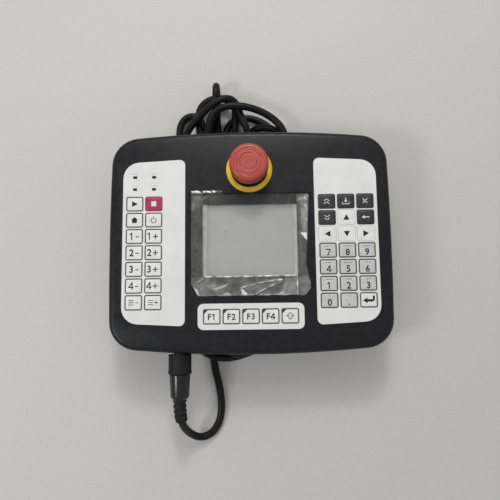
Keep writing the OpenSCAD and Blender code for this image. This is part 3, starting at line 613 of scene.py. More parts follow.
plug_finish = moulded("plug body", (0.006, 0.006, 0.007), (0.011, 0.011, 0.013), gloss=0.3,
                      gloss_change=0.05, depth=0, breadth=120.0, sockets={
                          "Specular IOR Level": 0.2, "Coat Weight": 0.5, "Coat Roughness": 0.15})
plug_body = turned_along_y("plug_shell", PLUG_X * MM, PLUG_Z * MM, rounded_profile([
    (plug_top, 0.001), (plug_top, 6.0 * MM), (ring_end + 0.2 * MM, 6.0 * MM),
    (ring_end + 0.2 * MM, 6.2 * MM), (ring_end - 0.3 * MM, 6.2 * MM), (ring_end - 0.3 * MM, 9.0 * MM),
    (ring_end - 1.0 * MM, 9.1 * MM), (boot_y + 3.0 * MM, 8.2 * MM), (boot_y + 0.2 * MM, 6.1 * MM),
    (boot_y, 5.9 * MM), (boot_y, 0.001)], 0.35 * MM), 64, "pendant", plug_finish, "plug_black")
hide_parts("cable_plug")

RIB_COUNT = 4


def boot_surface():
    """A cone round a line that leaves level and bends down, with ribs as a rounded square wave."""
    t = np.linspace(0, 1, 90)
    start, end = np.array([PLUG_X, boot_y / MM, PLUG_Z]), CABLE[0]
    lead, exit_way = np.array([0, -17.0, 0]), np.array([1.0, -15.0, -12.5])
    line = sum(w[:, None] * v for w, v in zip(cubic_weights(t), (start, lead, end, exit_way)))
    rib = np.clip(3 * np.sin(2 * np.pi * (RIB_COUNT * t + 0.08)) + 0.6, -1, 1)
    radius = 5.45 - 0.55 * t + 0.5 * rib
    radius[0] = 5.6
    return round_section(line * MM, radius * MM, 40)


boot_finish = moulded("rubber boot", (0.009, 0.009, 0.009), (0.016, 0.016, 0.016), gloss=0.55,
                      grain=1200.0, depth=0.05, dust=(0.10, 0.10, 0.09), dust_level=0.69,
                      sockets={"Specular IOR Level": 0.24})
boot = new_piece("boot_ribs", *boot_surface(), "pendant", boot_finish, "boot_rubber", sharp=50)
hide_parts("cable_boot")

far_low, far_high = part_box("controller_plug")
far_x, far_z = (far_low[0] + far_high[0]) / 2, (far_low[2] + far_high[2]) / 2
far_r, tip, cable_end = (far_high[0] - far_low[0]) / 2, far_low[1], far_high[1]
far_plug = turned_along_y("far_plug_shell", far_x, far_z, rounded_profile([
    (cable_end, 0.001), (cable_end, 4.4 * MM), (cable_end - 18 * MM, 5.6 * MM),
    (cable_end - 21 * MM, far_r - 1 * MM), (cable_end - 23 * MM, far_r),
    (tip + 26 * MM, far_r), (tip + 25.4 * MM, far_r - 0.5 * MM), (tip + 24.8 * MM, far_r),
    (tip + 10 * MM, far_r), (tip + 10 * MM, far_r - 2 * MM), (tip, far_r - 2 * MM),
    (tip, 0.001)], 0.4 * MM), 56, "pendant", plug_finish, "plug_black")
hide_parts("controller_plug")

print("plug ring radius", ring_r, "boot from", boot_y)

# %% [markdown]
# ## The two covers
# The covers were made as solids, and their meshes are loose triangles. A copy is merged, the
# triangles that lie in one plane are joined, and edges sharper than 25 degrees stay sharp. A small
# Bevel then breaks those edges, because no moulded part has a knife edge, and the broken edge is
# what catches the light. The finish is black plastic with a fine mould grain, a little dust and
# slow changes of gloss.

# %% Covers with broken edges
def refined_copy(node, name, body, finish, edge=0.25, sharp=25):
    """A merged copy of a construction node, with flat regions joined and its sharp edges broken."""
    work = bmesh.new()
    work.from_mesh(nodes[node].data)
    bmesh.ops.remove_doubles(work, verts=work.verts, dist=1e-6)
    bmesh.ops.dissolve_limit(work, angle_limit=math.radians(0.3), verts=work.verts, edges=work.edges)
    mesh = bpy.data.meshes.new(name)
    work.to_mesh(mesh)
    work.free()
    mesh.transform(nodes[node].matrix_world)
    piece = in_scene(name, mesh)
    dress(piece, finish)
    mesh.shade_smooth()
    mesh.set_sharp_from_angle(angle=math.radians(sharp))
    if edge:
        bevel = piece.modifiers.new("broken edges", "BEVEL")
        bevel.width, bevel.segments = edge * MM, 2
        bevel.limit_method, bevel.angle_limit = "ANGLE", math.radians(sharp)
        bevel.use_clamp_overlap = True
        bevel.harden_normals = True
    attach(piece, body)
    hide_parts(node)
    return piece


case_finish = moulded("black case", (0.008, 0.008, 0.0095), (0.014, 0.014, 0.016), gloss=0.36,
                      gloss_change=0.06, grain=1150.0, depth=0.06, breadth=170.0,
                      dust=(0.05, 0.05, 0.053), dust_level=0.67, dust_fineness=520.0,
                      sockets={"Specular IOR Level": 0.24})
back_finish = moulded("black back", (0.012, 0.012, 0.013), (0.019, 0.019, 0.020), gloss=0.46,
                      grain=1150.0, depth=0.07, breadth=130.0, dust=(0.08, 0.08, 0.08),
                      dust_level=0.69, dust_fineness=420.0, sockets={"Specular IOR Level": 0.35})
front = refined_copy("front_cover", "front_shell", "pendant", case_finish)
back = refined_copy("rear_cover", "back_shell", "pendant", back_finish, edge=0.4)
print("front polygons", len(front.data.polygons), "back polygons", len(back.data.polygons))

# %% [markdown]
# ## Panels and keys
# The keys are parts of three white membranes. Each key cap is embossed: a low rim, a step and a
# pillow on top. Its surface is one outline, a rectangle with round corners, drawn in from the edge
# in steps, each step at its own height. The same table of inset and height tells the printed lines
# and signs where the cap's surface is, so that the ink follows the pillow.

# %% Rounded outlines and the cap's height
CORNER_POINTS = 7
CAP_INSETS = np.array([0.0, 0.15, 1.05, 1.35, 1.9, 2.5, 3.2])
CAP_RISES = np.array([0.0, 0.05, 0.05, 0.13, 0.26, 0.33, 0.35])


def round_rect(width, height, radius):
    """Quarter arcs round the four corners of a rectangle about the origin, joined by straight sides."""
    a = np.linspace(0, np.pi / 2, CORNER_POINTS)
    turns = [np.column_stack([np.cos(a + q * np.pi / 2), np.sin(a + q * np.pi / 2)]) for q in range(4)]
    signs = [(1, 1), (-1, 1), (-1, -1), (1, -1)]
    half = np.array([width / 2 - radius, height / 2 - radius])
    return np.vstack([half * s + radius * arc for s, arc in zip(signs, turns)])


def inset_of(points, width, height, radius):
    """How far each point lies inside a rounded rectangle, measured to the nearest place on its edge."""
    past = np.abs(points) - np.array([width / 2 - radius, height / 2 - radius])
    outside = np.linalg.norm(np.maximum(past, 0), axis=1)
    return radius - (outside + np.minimum(past.max(axis=1), 0))


# %% Caps, printed lines and signs
INK = 0.03
KEY_R = 1.6
face_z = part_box("front_cover")[1][2] / MM


def cap_mesh(width, height, bottom, top_rise):
    """Outlines drawn in step by step and lifted to their heights, from the lower edge to the pillow's top."""
    rows = [np.column_stack([round_rect(width, height, KEY_R), np.full(4 * CORNER_POINTS, bottom)])]
    for inset, rise in zip(CAP_INSETS, CAP_RISES * top_rise):
        outline = round_rect(width - 2 * inset, height - 2 * inset, max(KEY_R - inset, 0.6))
        rows.append(np.column_stack([outline, np.full(len(outline), face_z + rise)]))
    return np.vstack(rows), tube_faces(len(rows), 4 * CORNER_POINTS)


def band(width, height, radius, inner, thickness):
    """A closed flat band between two insets of a rounded rectangle: outer and inner wall, top and bottom."""
    outer = round_rect(width, height, radius)
    inside = round_rect(width - 2 * inner, height - 2 * inner, max(radius - inner, 0.3))
    loops = [(outer, 0), (outer, thickness), (inside, thickness), (inside, 0)]
    points = np.vstack([np.column_stack([p, np.full(len(p), z)]) for p, z in loops])
    n = len(outer)
    faces = grid_quads(4, n).tolist()
    last = np.arange(n)
    faces += np.column_stack([last + 3 * n, (last + 1) % n + 3 * n, (last + 1) % n, last]).tolist()
    return points, faces


def plate(outline, thickness=INK):
    """A flat closed plate with the given outline, counter-clockwise."""
    outline = np.asarray(outline, float)
    n = len(outline)
    points = np.vstack([np.column_stack([outline, np.zeros(n)]),
                        np.column_stack([outline, np.full(n, thickness)])])
    return points, tube_faces(2, n)


def bar(x, y, width, height):
    """A plain rectangle of ink with its centre at x, y."""
    return plate(np.array([(-1, -1), (1, -1), (1, 1), (-1, 1)]) * (width / 2, height / 2) + (x, y))


def disc(x, y, radius, count=20):
    """A round dot of ink."""
    a = np.linspace(0, 2 * np.pi, count, endpoint=False)
    return plate(np.column_stack([x + radius * np.cos(a), y + radius * np.sin(a)]))


def stroke(points, width):
    """A line of ink of one width: short bars, so that it follows the pillow, and a dot at each bend."""
    parts = []
    for a, b in zip(np.array(points[:-1], float), np.array(points[1:], float)):
        length = np.linalg.norm(b - a)
        side = np.array([a[1] - b[1], b[0] - a[0]]) / length * width / 2
        cuts = a + (b - a) * np.linspace(0, 1, math.ceil(length / 0.7) + 1)[:, None]
        parts += [plate([p - side, q - side, q + side, p + side]) for p, q in zip(cuts, cuts[1:])]
    return parts + [disc(x, y, width / 2, 12) for x, y in points]


def lettering(text, height, x=0.0, y=0.0, squeeze=1.0):
    """Letters and digits in the plain built-in face, as closed plates scaled until they are height tall."""
    curve = bpy.data.curves.new("type", "FONT")
    curve.body, curve.extrude, curve.resolution_u, curve.offset = text, 0.5, 4, 0.022
    holder = bpy.data.objects.new("type", curve)
    mesh = bpy.data.meshes.new_from_object(holder)
    points = np.empty(len(mesh.vertices) * 3, np.float32)
    mesh.vertices.foreach_get("co", points)
    points = points.reshape(-1, 3).astype(float)
    low, high = points.min(0), points.max(0)
    scale = height / (high[1] - low[1])
    flat = (points[:, :2] - (low + high)[:2] / 2) * (scale * squeeze, scale) + (x, y)
    faces = [list(p.vertices) for p in mesh.polygons]
    bpy.data.objects.remove(holder)
    bpy.data.meshes.remove(mesh)
    return np.column_stack([flat, (points[:, 2] - low[2]) * INK]), faces


def drawn_digit(text, height, x, y, weight=0.9):
    """A 1, 4 or 7 from strokes: in the built-in face they are a bare bar, or too long and straight."""
    lines = {"1": [(-0.24, 0.26), (0, 0.46), (0, -0.46)], "7": [(-0.28, 0.42), (0.28, 0.42), (-0.08, -0.46)],
             "4": [(0.16, -0.46), (0.16, 0.44), (-0.30, -0.2), (0.34, -0.2)]}
    return stroke([(x + a * height, y + b * height) for a, b in lines[text]], weight)


def corner_mark(width, height, size=3.6, count=6):
    """The dark triangle in the upper left corner of a function key, in small cells that follow the pillow."""
    x, y, cell = -width / 2 + 0.8, height / 2 - 0.8, size / count
    spots = [(i, j) for j in range(count + 1) for i in range(count + 1 - j)]
    order = {spot: k for k, spot in enumerate(spots)}
    faces = [[order[i, j], order[i, j + 1], order[i + 1, j]] for i, j in spots if i + j < count]
    faces += [[order[i + 1, j], order[i, j + 1], order[i + 1, j + 1]] for i, j in spots if i + j < count - 1]
    return np.array([(x + i * cell, y - j * cell, 0.035) for i, j in spots]), faces


def arrow_head(x, y, width, height, quarter):
    """A filled triangle that points up, turned by quarters of a turn."""
    a = quarter * math.pi / 2
    turn = np.array([[math.cos(a), math.sin(a)], [-math.sin(a), math.cos(a)]])
    return plate(np.array([(-width / 2, -height / 2), (width / 2, -height / 2), (0, height / 2)]) @ turn
                 + (x, y))

# %% [markdown]
# ## What is printed on each key
# Digits, plus and minus signs and the letter and number of a function key are plain marks that
# any such keyboard carries. The other keys get the usual signs of their jobs: a triangle to run,
# a square to stop, a house for the home position, a power sign for the drives, chevrons to turn
# pages. Signs are small closed plates of ink, written in millimetres about the key's middle.

# %% Signs by key
def power_sign(radius, width):
    """Most of a circle, open at the top, with a bar that stands in the gap."""
    a = np.linspace(math.radians(130), math.radians(410), 15)
    ring_line = np.column_stack([radius * np.cos(a), radius * np.sin(a) - 0.3])
    return stroke(ring_line, width) + stroke([(0, 0.6), (0, radius + 0.6)], width)


def chevrons(up):
    """Two open arrow heads, one over the other, pointing up (1) or down (-1)."""
    return [part for y in (-1.3, 1.3) for part in
            stroke([(-2.3, y - 0.9 * up), (0, y + 0.9 * up), (2.3, y - 0.9 * up)], 0.62)]


def page_lines(x):
    """Three short lines, one over another: all the axes together."""
    return [bar(x, y, 4.6, 0.62) for y in (-1.9, 0, 1.9)]


def plus(x, y, size, width):
    """Two bars of ink that cross."""
    return [bar(x, y, size, width), bar(x, y, width, size)]


def letter_ticks(count):
    """Small ticks in the place of the little letters over a digit."""
    return [bar((k - (count - 1) / 2) * 2.0, 3.7, 1.3, 0.5) for k in range(count)]


SIGNS = {
    "key_run": [arrow_head(0.2, 0, 5.2, 5.2, 3)],
    "key_stop": [bar(0, 0, 4.4, 4.4)],
    "key_home": [plate([(-2.1, -2.5), (2.1, -2.5), (2.1, 0.1), (-2.1, 0.1)]),
                 plate([(-3.2, 0.1), (3.2, 0.1), (0, 2.9)])],
    "key_servo": power_sign(2.3, 0.62),
    "key_all_minus": page_lines(-1.9) + [bar(3.0, 0, 2.4, 0.6)],
    "key_all_plus": page_lines(-1.9) + plus(3.0, 0, 3.0, 0.6),
    "key_page_up": chevrons(1),
    "key_page_down": chevrons(-1),
    "key_write": [arrow_head(0, -0.3, 3.2, 2.2, 2), bar(0, 1.8, 0.7, 2.6)]
                 + stroke([(-3.1, -0.9), (-3.1, -2.6), (3.1, -2.6), (3.1, -0.9)], 0.6),
    "key_escape": stroke([(-1.8, -1.8), (1.8, 1.8)], 0.75) + stroke([(-1.8, 1.8), (1.8, -1.8)], 0.75),
    "key_backspace": [arrow_head(-2.1, 0, 3.4, 2.6, 1), bar(1.2, 0, 4.4, 0.8)],
    "key_up": [arrow_head(0, 0.2, 5.5, 5.0, 0)],
    "key_down": [arrow_head(0, -0.2, 5.5, 5.0, 2)],
    "key_left": [arrow_head(0, 0, 5.5, 5.0, 1)],
    "key_right": [arrow_head(0, 0, 5.5, 5.0, 3)],
    "key_point": [disc(0, -3.7, 0.62), bar(0, 3.7, 0.9, 0.42)],
    "key_enter": [arrow_head(-3.4, -0.5, 4.8, 4.2, 1), bar(0.6, -0.5, 4.4, 2.0)]
                 + stroke([(2.4, -0.5), (3.7, -0.3), (4.25, 0.7), (4.25, 2.9)], 1.75),
    "key_shift": stroke([(-1.2, -2.5), (1.2, -2.5), (1.2, 0), (3, 0), (0, 3), (-3, 0), (-1.2, 0),
                         (-1.2, -2.5)], 0.55),
}


def digit(text, height, x, y):
    """One digit, from strokes where the built-in face doesn't suit."""
    return drawn_digit(text, height, x, y) if text in "147" else [lettering(text, height, x, y, 0.95)]


for axis in "1234":
    SIGNS[f"key_axis{axis}_minus"] = digit(axis, 6.4, -2.3, 0.1) + [bar(2.7, -0.4, 2.9, 0.85)]
    SIGNS[f"key_axis{axis}_plus"] = digit(axis, 6.4, -3.6, 0.1) + plus(1.9, -0.2, 4.5, 0.85)
    SIGNS[f"key_f{axis}"] = [lettering("F", 5.3, -1.9, -0.2)] + digit(axis, 5.3, 1.9, -0.2)
for text, ticks in zip("0123456789", (1, 3, 3, 2, 3, 4, 3, 3, 4, 3)):
    SIGNS[f"key_{text}"] = digit(text, 6.0, 0.1, -1.8) + letter_ticks(ticks)
print("signs for", len(SIGNS), "keys")

# %% [markdown]
# ## The finishes of panels, caps and ink
# The membranes are off-white and faintly speckled; the caps of the digits are light grey. Dark
# caps carry white ink, the stop key is crimson. All are the moulded recipe again with very little
# grain, because a printed film is smoother than the case.

# %% Panel, cap and ink finishes
panel_finish = moulded("panel white", (0.70, 0.70, 0.675), (0.77, 0.77, 0.745), gloss=0.42, grain=1900.0,
                       depth=0.02, breadth=45.0, dust=(0.50, 0.50, 0.49), dust_level=0.69)
cap_finishes = {
    "key_white": moulded("cap white", (0.70, 0.70, 0.67), (0.80, 0.80, 0.77), gloss=0.40, grain=1500.0,
                         depth=0.03, breadth=160.0, dust=(0.48, 0.48, 0.47), dust_level=0.68),
    "key_grey": moulded("cap grey", (0.50, 0.50, 0.49), (0.60, 0.60, 0.59), gloss=0.38, grain=1500.0,
                        depth=0.04, breadth=200.0, dust=(0.36, 0.36, 0.36), dust_level=0.66),
    "key_dark": moulded("cap dark", (0.014, 0.014, 0.015), (0.026, 0.026, 0.027), gloss=0.45,
                        grain=1500.0, depth=0.05, breadth=200.0, dust=(0.13, 0.13, 0.13), dust_level=0.62),
    "key_red": moulded("cap crimson", (0.30, 0.018, 0.060), (0.40, 0.035, 0.09), gloss=0.42,
                       grain=1500.0, depth=0.04, breadth=200.0, dust=(0.52, 0.16, 0.22), dust_level=0.66),
}
dull = {"Specular IOR Level": 0.2}
dark_ink = moulded("dark ink", (0.012, 0.012, 0.011), (0.024, 0.024, 0.022), gloss=0.5, depth=0,
                   breadth=400.0, sockets=dull)
line_ink = moulded("outline ink", (0.030, 0.030, 0.028), (0.055, 0.055, 0.050), gloss=0.5, depth=0,
                   breadth=400.0, sockets=dull)
grey_ink = moulded("faint ink", (0.22, 0.22, 0.215), (0.30, 0.30, 0.29), gloss=0.5, depth=0)
pale_ink = moulded("pale ink", (0.66, 0.66, 0.65), (0.78, 0.78, 0.77), gloss=0.5, depth=0, breadth=400.0)

# %% [markdown]
# ## Forty keys in one loop
# Each key's size and middle come from its construction node, so the looks can't drift from the
# solids. One cap and its marks are made for each and ride on the key's own body, so that the
# marks sink with the key when it is pressed.

# %% Keys
DARK_KEYS = ("key_page_up", "key_write", "key_escape", "key_page_down", "key_backspace")
ARROW_KEYS = ("key_up", "key_down", "key_left", "key_right")
GREY_KEYS = tuple(f"key_{d}" for d in "0123456789") + ("key_point",)
OUTLINE_FROM, OUTLINE_TO = 0.12, 0.98
LIFT = 0.012


def key_kind(name):
    """The material slot of a key's cap, and how much of the full pillow its cap has."""
    if name in DARK_KEYS:
        return "key_dark", 0.8
    if name == "key_stop":
        return "key_red", 0.8
    if name in GREY_KEYS:
        return "key_grey", 1.0
    return "key_white", 0.45 if name in ARROW_KEYS else 0.85


def on_cap(parts, width, height, rise, middle):
    """Ink laid on the pillow: each point is lifted to the cap's height at its own inset."""
    points, faces = join_meshes(parts)
    inset = inset_of(points[:, :2], width, height, KEY_R)
    points = points.copy()
    points[:, 2] += face_z + LIFT + np.interp(inset, CAP_INSETS, CAP_RISES * rise)
    points[:, :2] += middle
    return points * MM, faces


for name in sorted(SIGNS):
    low, high = (np.array(c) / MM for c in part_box(name))
    middle, (width, height) = ((low + high) / 2)[:2], (high - low)[:2]
    kind, rise = key_kind(name)
    points, faces = cap_mesh(width, height, low[2], rise)
    points[:, :2] += middle
    cap = new_piece(f"{name}_cap", points * MM, faces, name, cap_finishes[kind], kind, sharp=50)
    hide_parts(name)
    pale = kind in ("key_dark", "key_red")
    new_piece(f"{name}_sign", *on_cap(SIGNS[name], width, height, rise, middle), name,
              pale_ink if pale else dark_ink, kind, smooth=False)
    if not pale and name not in ARROW_KEYS:
        rim = band(width - 2 * OUTLINE_FROM, height - 2 * OUTLINE_FROM, KEY_R - OUTLINE_FROM,
                   OUTLINE_TO - OUTLINE_FROM, INK)
        marks = [rim] + ([corner_mark(width, height)] if name[:5] == "key_f" or name == "key_shift" else [])
        new_piece(f"{name}_outline", *on_cap(marks, width, height, rise, middle), name, line_ink,
                  kind, smooth=False)
print("one key is", width, "by", height, "with its lower edge at", low[2])

# %% Panels, and the ticks over the lamps
refined_copy("key_panels", "panel_sheets", "pendant", panel_finish, edge=0.3)
LAMP_PLACES = [(x, y) for y in (57.8, 46.8) for x in (-102.4, -85.4)]
TICKS_PER_LAMP = (4, 3, 4, 5)
LENS_LAYERS, LENS_SINK = 22, 0.69  # thickness in layers of ink, and how deep its foot is sunk
points, faces = join_meshes([bar(x, y, 3.5, 2.3) for x, y in LAMP_PLACES])
lens_finish = moulded("lamp lens", (0.008, 0.008, 0.009), (0.014, 0.014, 0.015), gloss=0.3, depth=0,
                      sockets=dull)
points = points * (1, 1, LENS_LAYERS) + (0, 0, face_z - LENS_SINK)
new_piece("lamp_lenses", points * MM, faces, "pendant", lens_finish, "panel_white", smooth=False)
ticks = [bar(x + (k - (n - 1) / 2) * 1.5, y + 3.1, 0.95, 0.5)
         for (x, y), n in zip(LAMP_PLACES, TICKS_PER_LAMP)
         for k in range(n)]
points, faces = join_meshes(ticks)
new_piece("lamp_ticks", (points + (0, 0, face_z + 0.005)) * MM, faces, "pendant", grey_ink,
          "panel_white", smooth=False)

# %% [markdown]
# ## Display, window and film
# Behind the clear window lies a grey display without power: a matt picture in a slightly darker
# frame. Over it the thin protective film was never peeled off. It is one sheet with
# creases, which are short straight ridges like a tent's, and facets between them, each a convex
# outline with a soft edge. Its glints are painted: white lines along the creases, white on some
# facets, and white spots where the sheet bends over the recess's lip. Two attributes say what it
# is like at each point: veil is how much it covers, and the second is how white it is, from the
# lighter rim over the display's edges and from the painted glints.

# %% Display and window
frame_finish = moulded("display frame", (0.43, 0.42, 0.37), (0.50, 0.49, 0.44), gloss=0.5, depth=0)
picture_finish = moulded("display picture", (0.56, 0.56, 0.54), (0.60, 0.60, 0.58), gloss=0.35,
                         depth=0, breadth=25.0, dust=(0.55, 0.55, 0.54), dust_level=0.72,
                         dust_fineness=140.0)
dress(nodes["display_module"], frame_finish)
module_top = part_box("display_module")[1][2] / MM
PICTURE_W, PICTURE_H = 77.4, 59.0
picture_points, picture_faces = plate(round_rect(PICTURE_W, PICTURE_H, 0.8), 0.05)
picture_points[:, 2] += module_top
new_piece("display_picture", picture_points * MM, picture_faces, "pendant", picture_finish,
          "display_grey", smooth=False)

clear = moulded("clear window", (0.56, 0.56, 0.54), (0.60, 0.60, 0.58), gloss=0.2, gloss_change=0.04,
                depth=0, sockets={"Alpha": 0.6})
dress(nodes["display_window"], clear)

# %% The creased film
FILM_STEPS = (210, 190)
OPENING = (41.8, 31.7)  # half the display opening
FILM_LEFT, FILM_WIDTH, FILM_RIGHT = -52.1, 104.8, 52.7
FILM_TOP, FILM_BOTTOM = 41.6, -49.1
FILM_Z, FILM_HIGHEST = 53.05, 54.9
# where the film's right edge lies at some heights, from the bottom to the top
EDGE_Y = (-49.5, -48.3, -43.0, -38.0, -30.0, -21.0, -10.0, 0.0, 8.0, 25.0, 42.0)
EDGE_X = (47.0, 48.2, 52.7, 52.4, 50.6, 48.9, 49.8, 50.6, 50.8, 51.8, 52.8)
# creases: from x, y to x, y, then half width and brightness; the brightness is a painted highlight
# along the ridge, and it also sets the ridge's height
CREASES = [
    (-40, -32.3, 0, -32.3, 0.75, 1.3), (0, -32.3, 39.6, -31.9, 0.75, 1.3),
    (-48.1, -38.3, -41.5, -33.6, 0.6, 1.0), (40.9, -32, 41.0, -49, 0.7, 1.2),
    (-8.5, -42, 12, -37.2, 0.55, 1.1), (12, -37.2, 27.4, -35.4, 0.6, 1.3),
    (28, -36.4, 16, -41.6, 0.5, 1.0), (16, -41.6, 4.9, -47.3, 0.5, 1.1),
    (-8.5, -42, -7, -48.2, 0.4, 0.9), (-7, -48.6, 36.4, -48.7, 0.35, 0.6),
    (-44, -48.6, -14, -48.7, 0.3, 0.5), (-49.5, -42, -45, -48.8, 0.7, 0.7),
    (-51.6, 42.4, -30, 42.6, 0.35, 0.55), (-43.6, 36.5, -29.2, 43.6, 0.3, 0.4),
    (-36, 35, -26, 42.6, 0.3, 0.3),
    (41.5, 34.2, 52.4, 38.5, 0.4, 0.6), (49.2, 38, 50.8, 34.5, 0.5, 0.8), (46, 36, 51, 24, 0.3, 0.35),
    (51.5, 25, 50.7, 6, 0.3, 0.5), (48.3, -48, 51.8, -43.7, 0.35, 0.6), (52, -36.5, 52.2, -39.5, 0.6, 0.8),
    (-40.4, 32, -38.8, 26.5, 0.5, 0.6), (-38, -44.5, -24, -39.5, 0.4, 0.4), (30, -35, 36, -47, 0.5, 0.3),
    (-45.2, 30, -46.2, 8, 0.6, 0.12), (-47, 4, -46, -26, 0.7, 0.14), (-50, 20, -49.6, -18, 0.4, 0.1),
    (46.5, -6, 45.5, -24, 0.6, 0.14), (22, 17, 23.2, 3, 1.2, 0.07), (-16, 6, -11, -3.5, 0.6, 0.07)]
# facets between creases: cover, whiteness, softness of the edge, and corners counter-clockwise;
# a high whiteness is a painted reflection on the crumpled sheet
FACETS = [
    (0.30, 0.08, 3.0, [(-52, 42), (-51.5, 26), (-43.5, 32), (-44, 42)]),
    (0.34, 0.15, 2.5, [(42, 39), (44, 30), (52, 27), (52.6, 41.5)]),
    (0.32, 0.03, 1.5, [(-46, -38), (-43, -48.5), (-28, -48.5), (-30, -35), (-38, -34)]),
    (0.22, 0.00, 2.0, [(-27, -36), (-24, -46), (-10, -46), (-10, -36)]),
    (0.28, 0.02, 1.0, [(-7.6, -42), (5, -47), (27, -36), (12, -37.6)]),
    (0.42, 0.14, 1.6, [(30, -34), (27, -48.5), (40, -48.5), (40, -33)]),
    (0.33, 0.05, 1.5, [(41.8, -33), (41.8, -48.8), (47.5, -48.2), (52.6, -43), (52.4, -36)]),
    (0.50, 0.26, 2.2, [(46.8, 7), (50.8, 6), (51.5, 28), (44.8, 28)]),
    (0.80, 0.70, 0.5, [(-49.4, -42), (-45.8, -48.5), (-44.6, -48.6), (-46.5, -43.5)]),
    (0.70, 0.50, 0.9, [(-33.9, -43), (-31, -43.9), (-22, -41), (-20.2, -38.9)]),
    (0.45, 0.30, 1.2, [(-40, -39.6), (-36, -42.6), (-30, -40.4), (-33, -38.4)]),
    (0.60, 0.50, 0.8, [(-23.8, -48.6), (-17.5, -48.4), (-20, -46), (-23.8, -47)]),
    (0.90, 0.85, 0.4, [(-8.5, -42), (-7.4, -48.4), (-2.6, -48.4), (-4.5, -45.5)]),
    (0.60, 0.50, 0.9, [(25, -48.4), (28.5, -48.4), (29, -45.5), (25.6, -46.5)]),
    (0.97, 0.97, 0.4, [(44.5, 6), (50.4, -1.3), (50.7, 5.8)]),
    (0.75, 0.75, 0.6, [(47.5, 36), (51, 35.5), (49.5, 39)]),
    (0.70, 0.70, 0.7, [(48, 31.5), (50, 27.5), (50.5, 31.5)]),
    (0.60, 0.55, 0.6, [(48.5, 19), (50.4, 15.5), (50.8, 19.5)]),
    (0.30, 0.60, 0.6, [(-22.4, 12.6), (-21.6, 10.4), (-19, 10.2), (-19.6, 12)])]
# painted glints, white spots where the film bends over the lip: x, y, half width and half height
PAINTED_GLINTS = [(-50.6, 44.0, 1.2, 0.6), (-47.6, 44.4, 1.6, 0.9), (-45.2, 43.6, 1.0, 0.6), (-40.4, 43.9, 0.8, 0.6),
          (-37.4, 44.6, 1.4, 0.9), (-35.4, 43.4, 0.9, 0.5), (-31.8, 44.2, 1.3, 0.8), (-29.2, 44.9, 0.9, 0.4),
          (-24.6, 44.0, 0.8, 0.4), (-22.4, 44.3, 1.5, 0.8)]


def within(x, y, corners, soft):
    """One inside a convex outline and nought outside: the least distance to a side, as a smooth step."""
    depth = np.full_like(x, np.inf)
    for (x0, y0), (x1, y1) in zip(corners, corners[1:] + corners[:1]):
        inside = ((x1 - x0) * (y - y0) - (y1 - y0) * (x - x0)) / math.hypot(x1 - x0, y1 - y0)
        depth = np.minimum(depth, inside)
    return smooth_step(depth, -soft, soft)


def film_outline():
    """The sheet's x, y and height over its grid, and how much it climbs the recess's lip at its upper left."""
    u, v = np.meshgrid(*(np.linspace(0, 1, n) for n in FILM_STEPS), indexing="ij")
    x = FILM_LEFT + FILM_WIDTH * u
    climbing = 1 - smooth_step(x, -27, -20)
    top = FILM_TOP + 3.1 * climbing + 0.2 * np.sin(x * 0.9) * climbing
    bottom = FILM_BOTTOM + 0.25 * np.sin(0.35 * x) + 10.5 * np.clip((-46.3 - x) / 5.8, 0, 1)
    y = bottom + (top - bottom) * v
    right = np.interp(y, EDGE_Y, EDGE_X)
    x = np.where(x > 0, x * right / FILM_RIGHT, x)
    z = FILM_Z + 1.3 * climbing * smooth_step(y, 40.6, 42.2) + 0.10 * np.sin(0.23 * x + 0.11 * y)
    return x, y, z, climbing


def smooth_veil(x, y, climbing):
    """Cover and whiteness of the sheet before it is creased, and the streaks that run through it."""
    over_display = (smooth_step(OPENING[0] - np.abs(x), -0.6, 0.6)
                    * smooth_step(OPENING[1] - np.abs(y), -0.6, 0.6))
    rim = smooth_step(x, 38.2, 39.2) + smooth_step(-x, 37.6, 38.8) + 0.5 * smooth_step(y, 28, 29.5)
    rim = np.clip(rim, 0, 1)
    streaks = 0.5 + 0.5 * np.sin(x * 2.1 + 1.3 * np.sin(y * 0.21)) * np.sin(y * 0.13 + x * 0.4)
    upper, lower = smooth_step(y, 31, 33) * (1 - 0.6 * climbing), smooth_step(-y, 31.5, 33.5)
    veil = 0.09 + 0.05 * streaks + 0.12 * lower - 0.07 * upper + 0.05 * smooth_step(x, 41, 44)
    veil = veil * (1 - over_display) + (0.04 + 0.2 * rim) * over_display
    return veil, 0.6 * rim * over_display, streaks


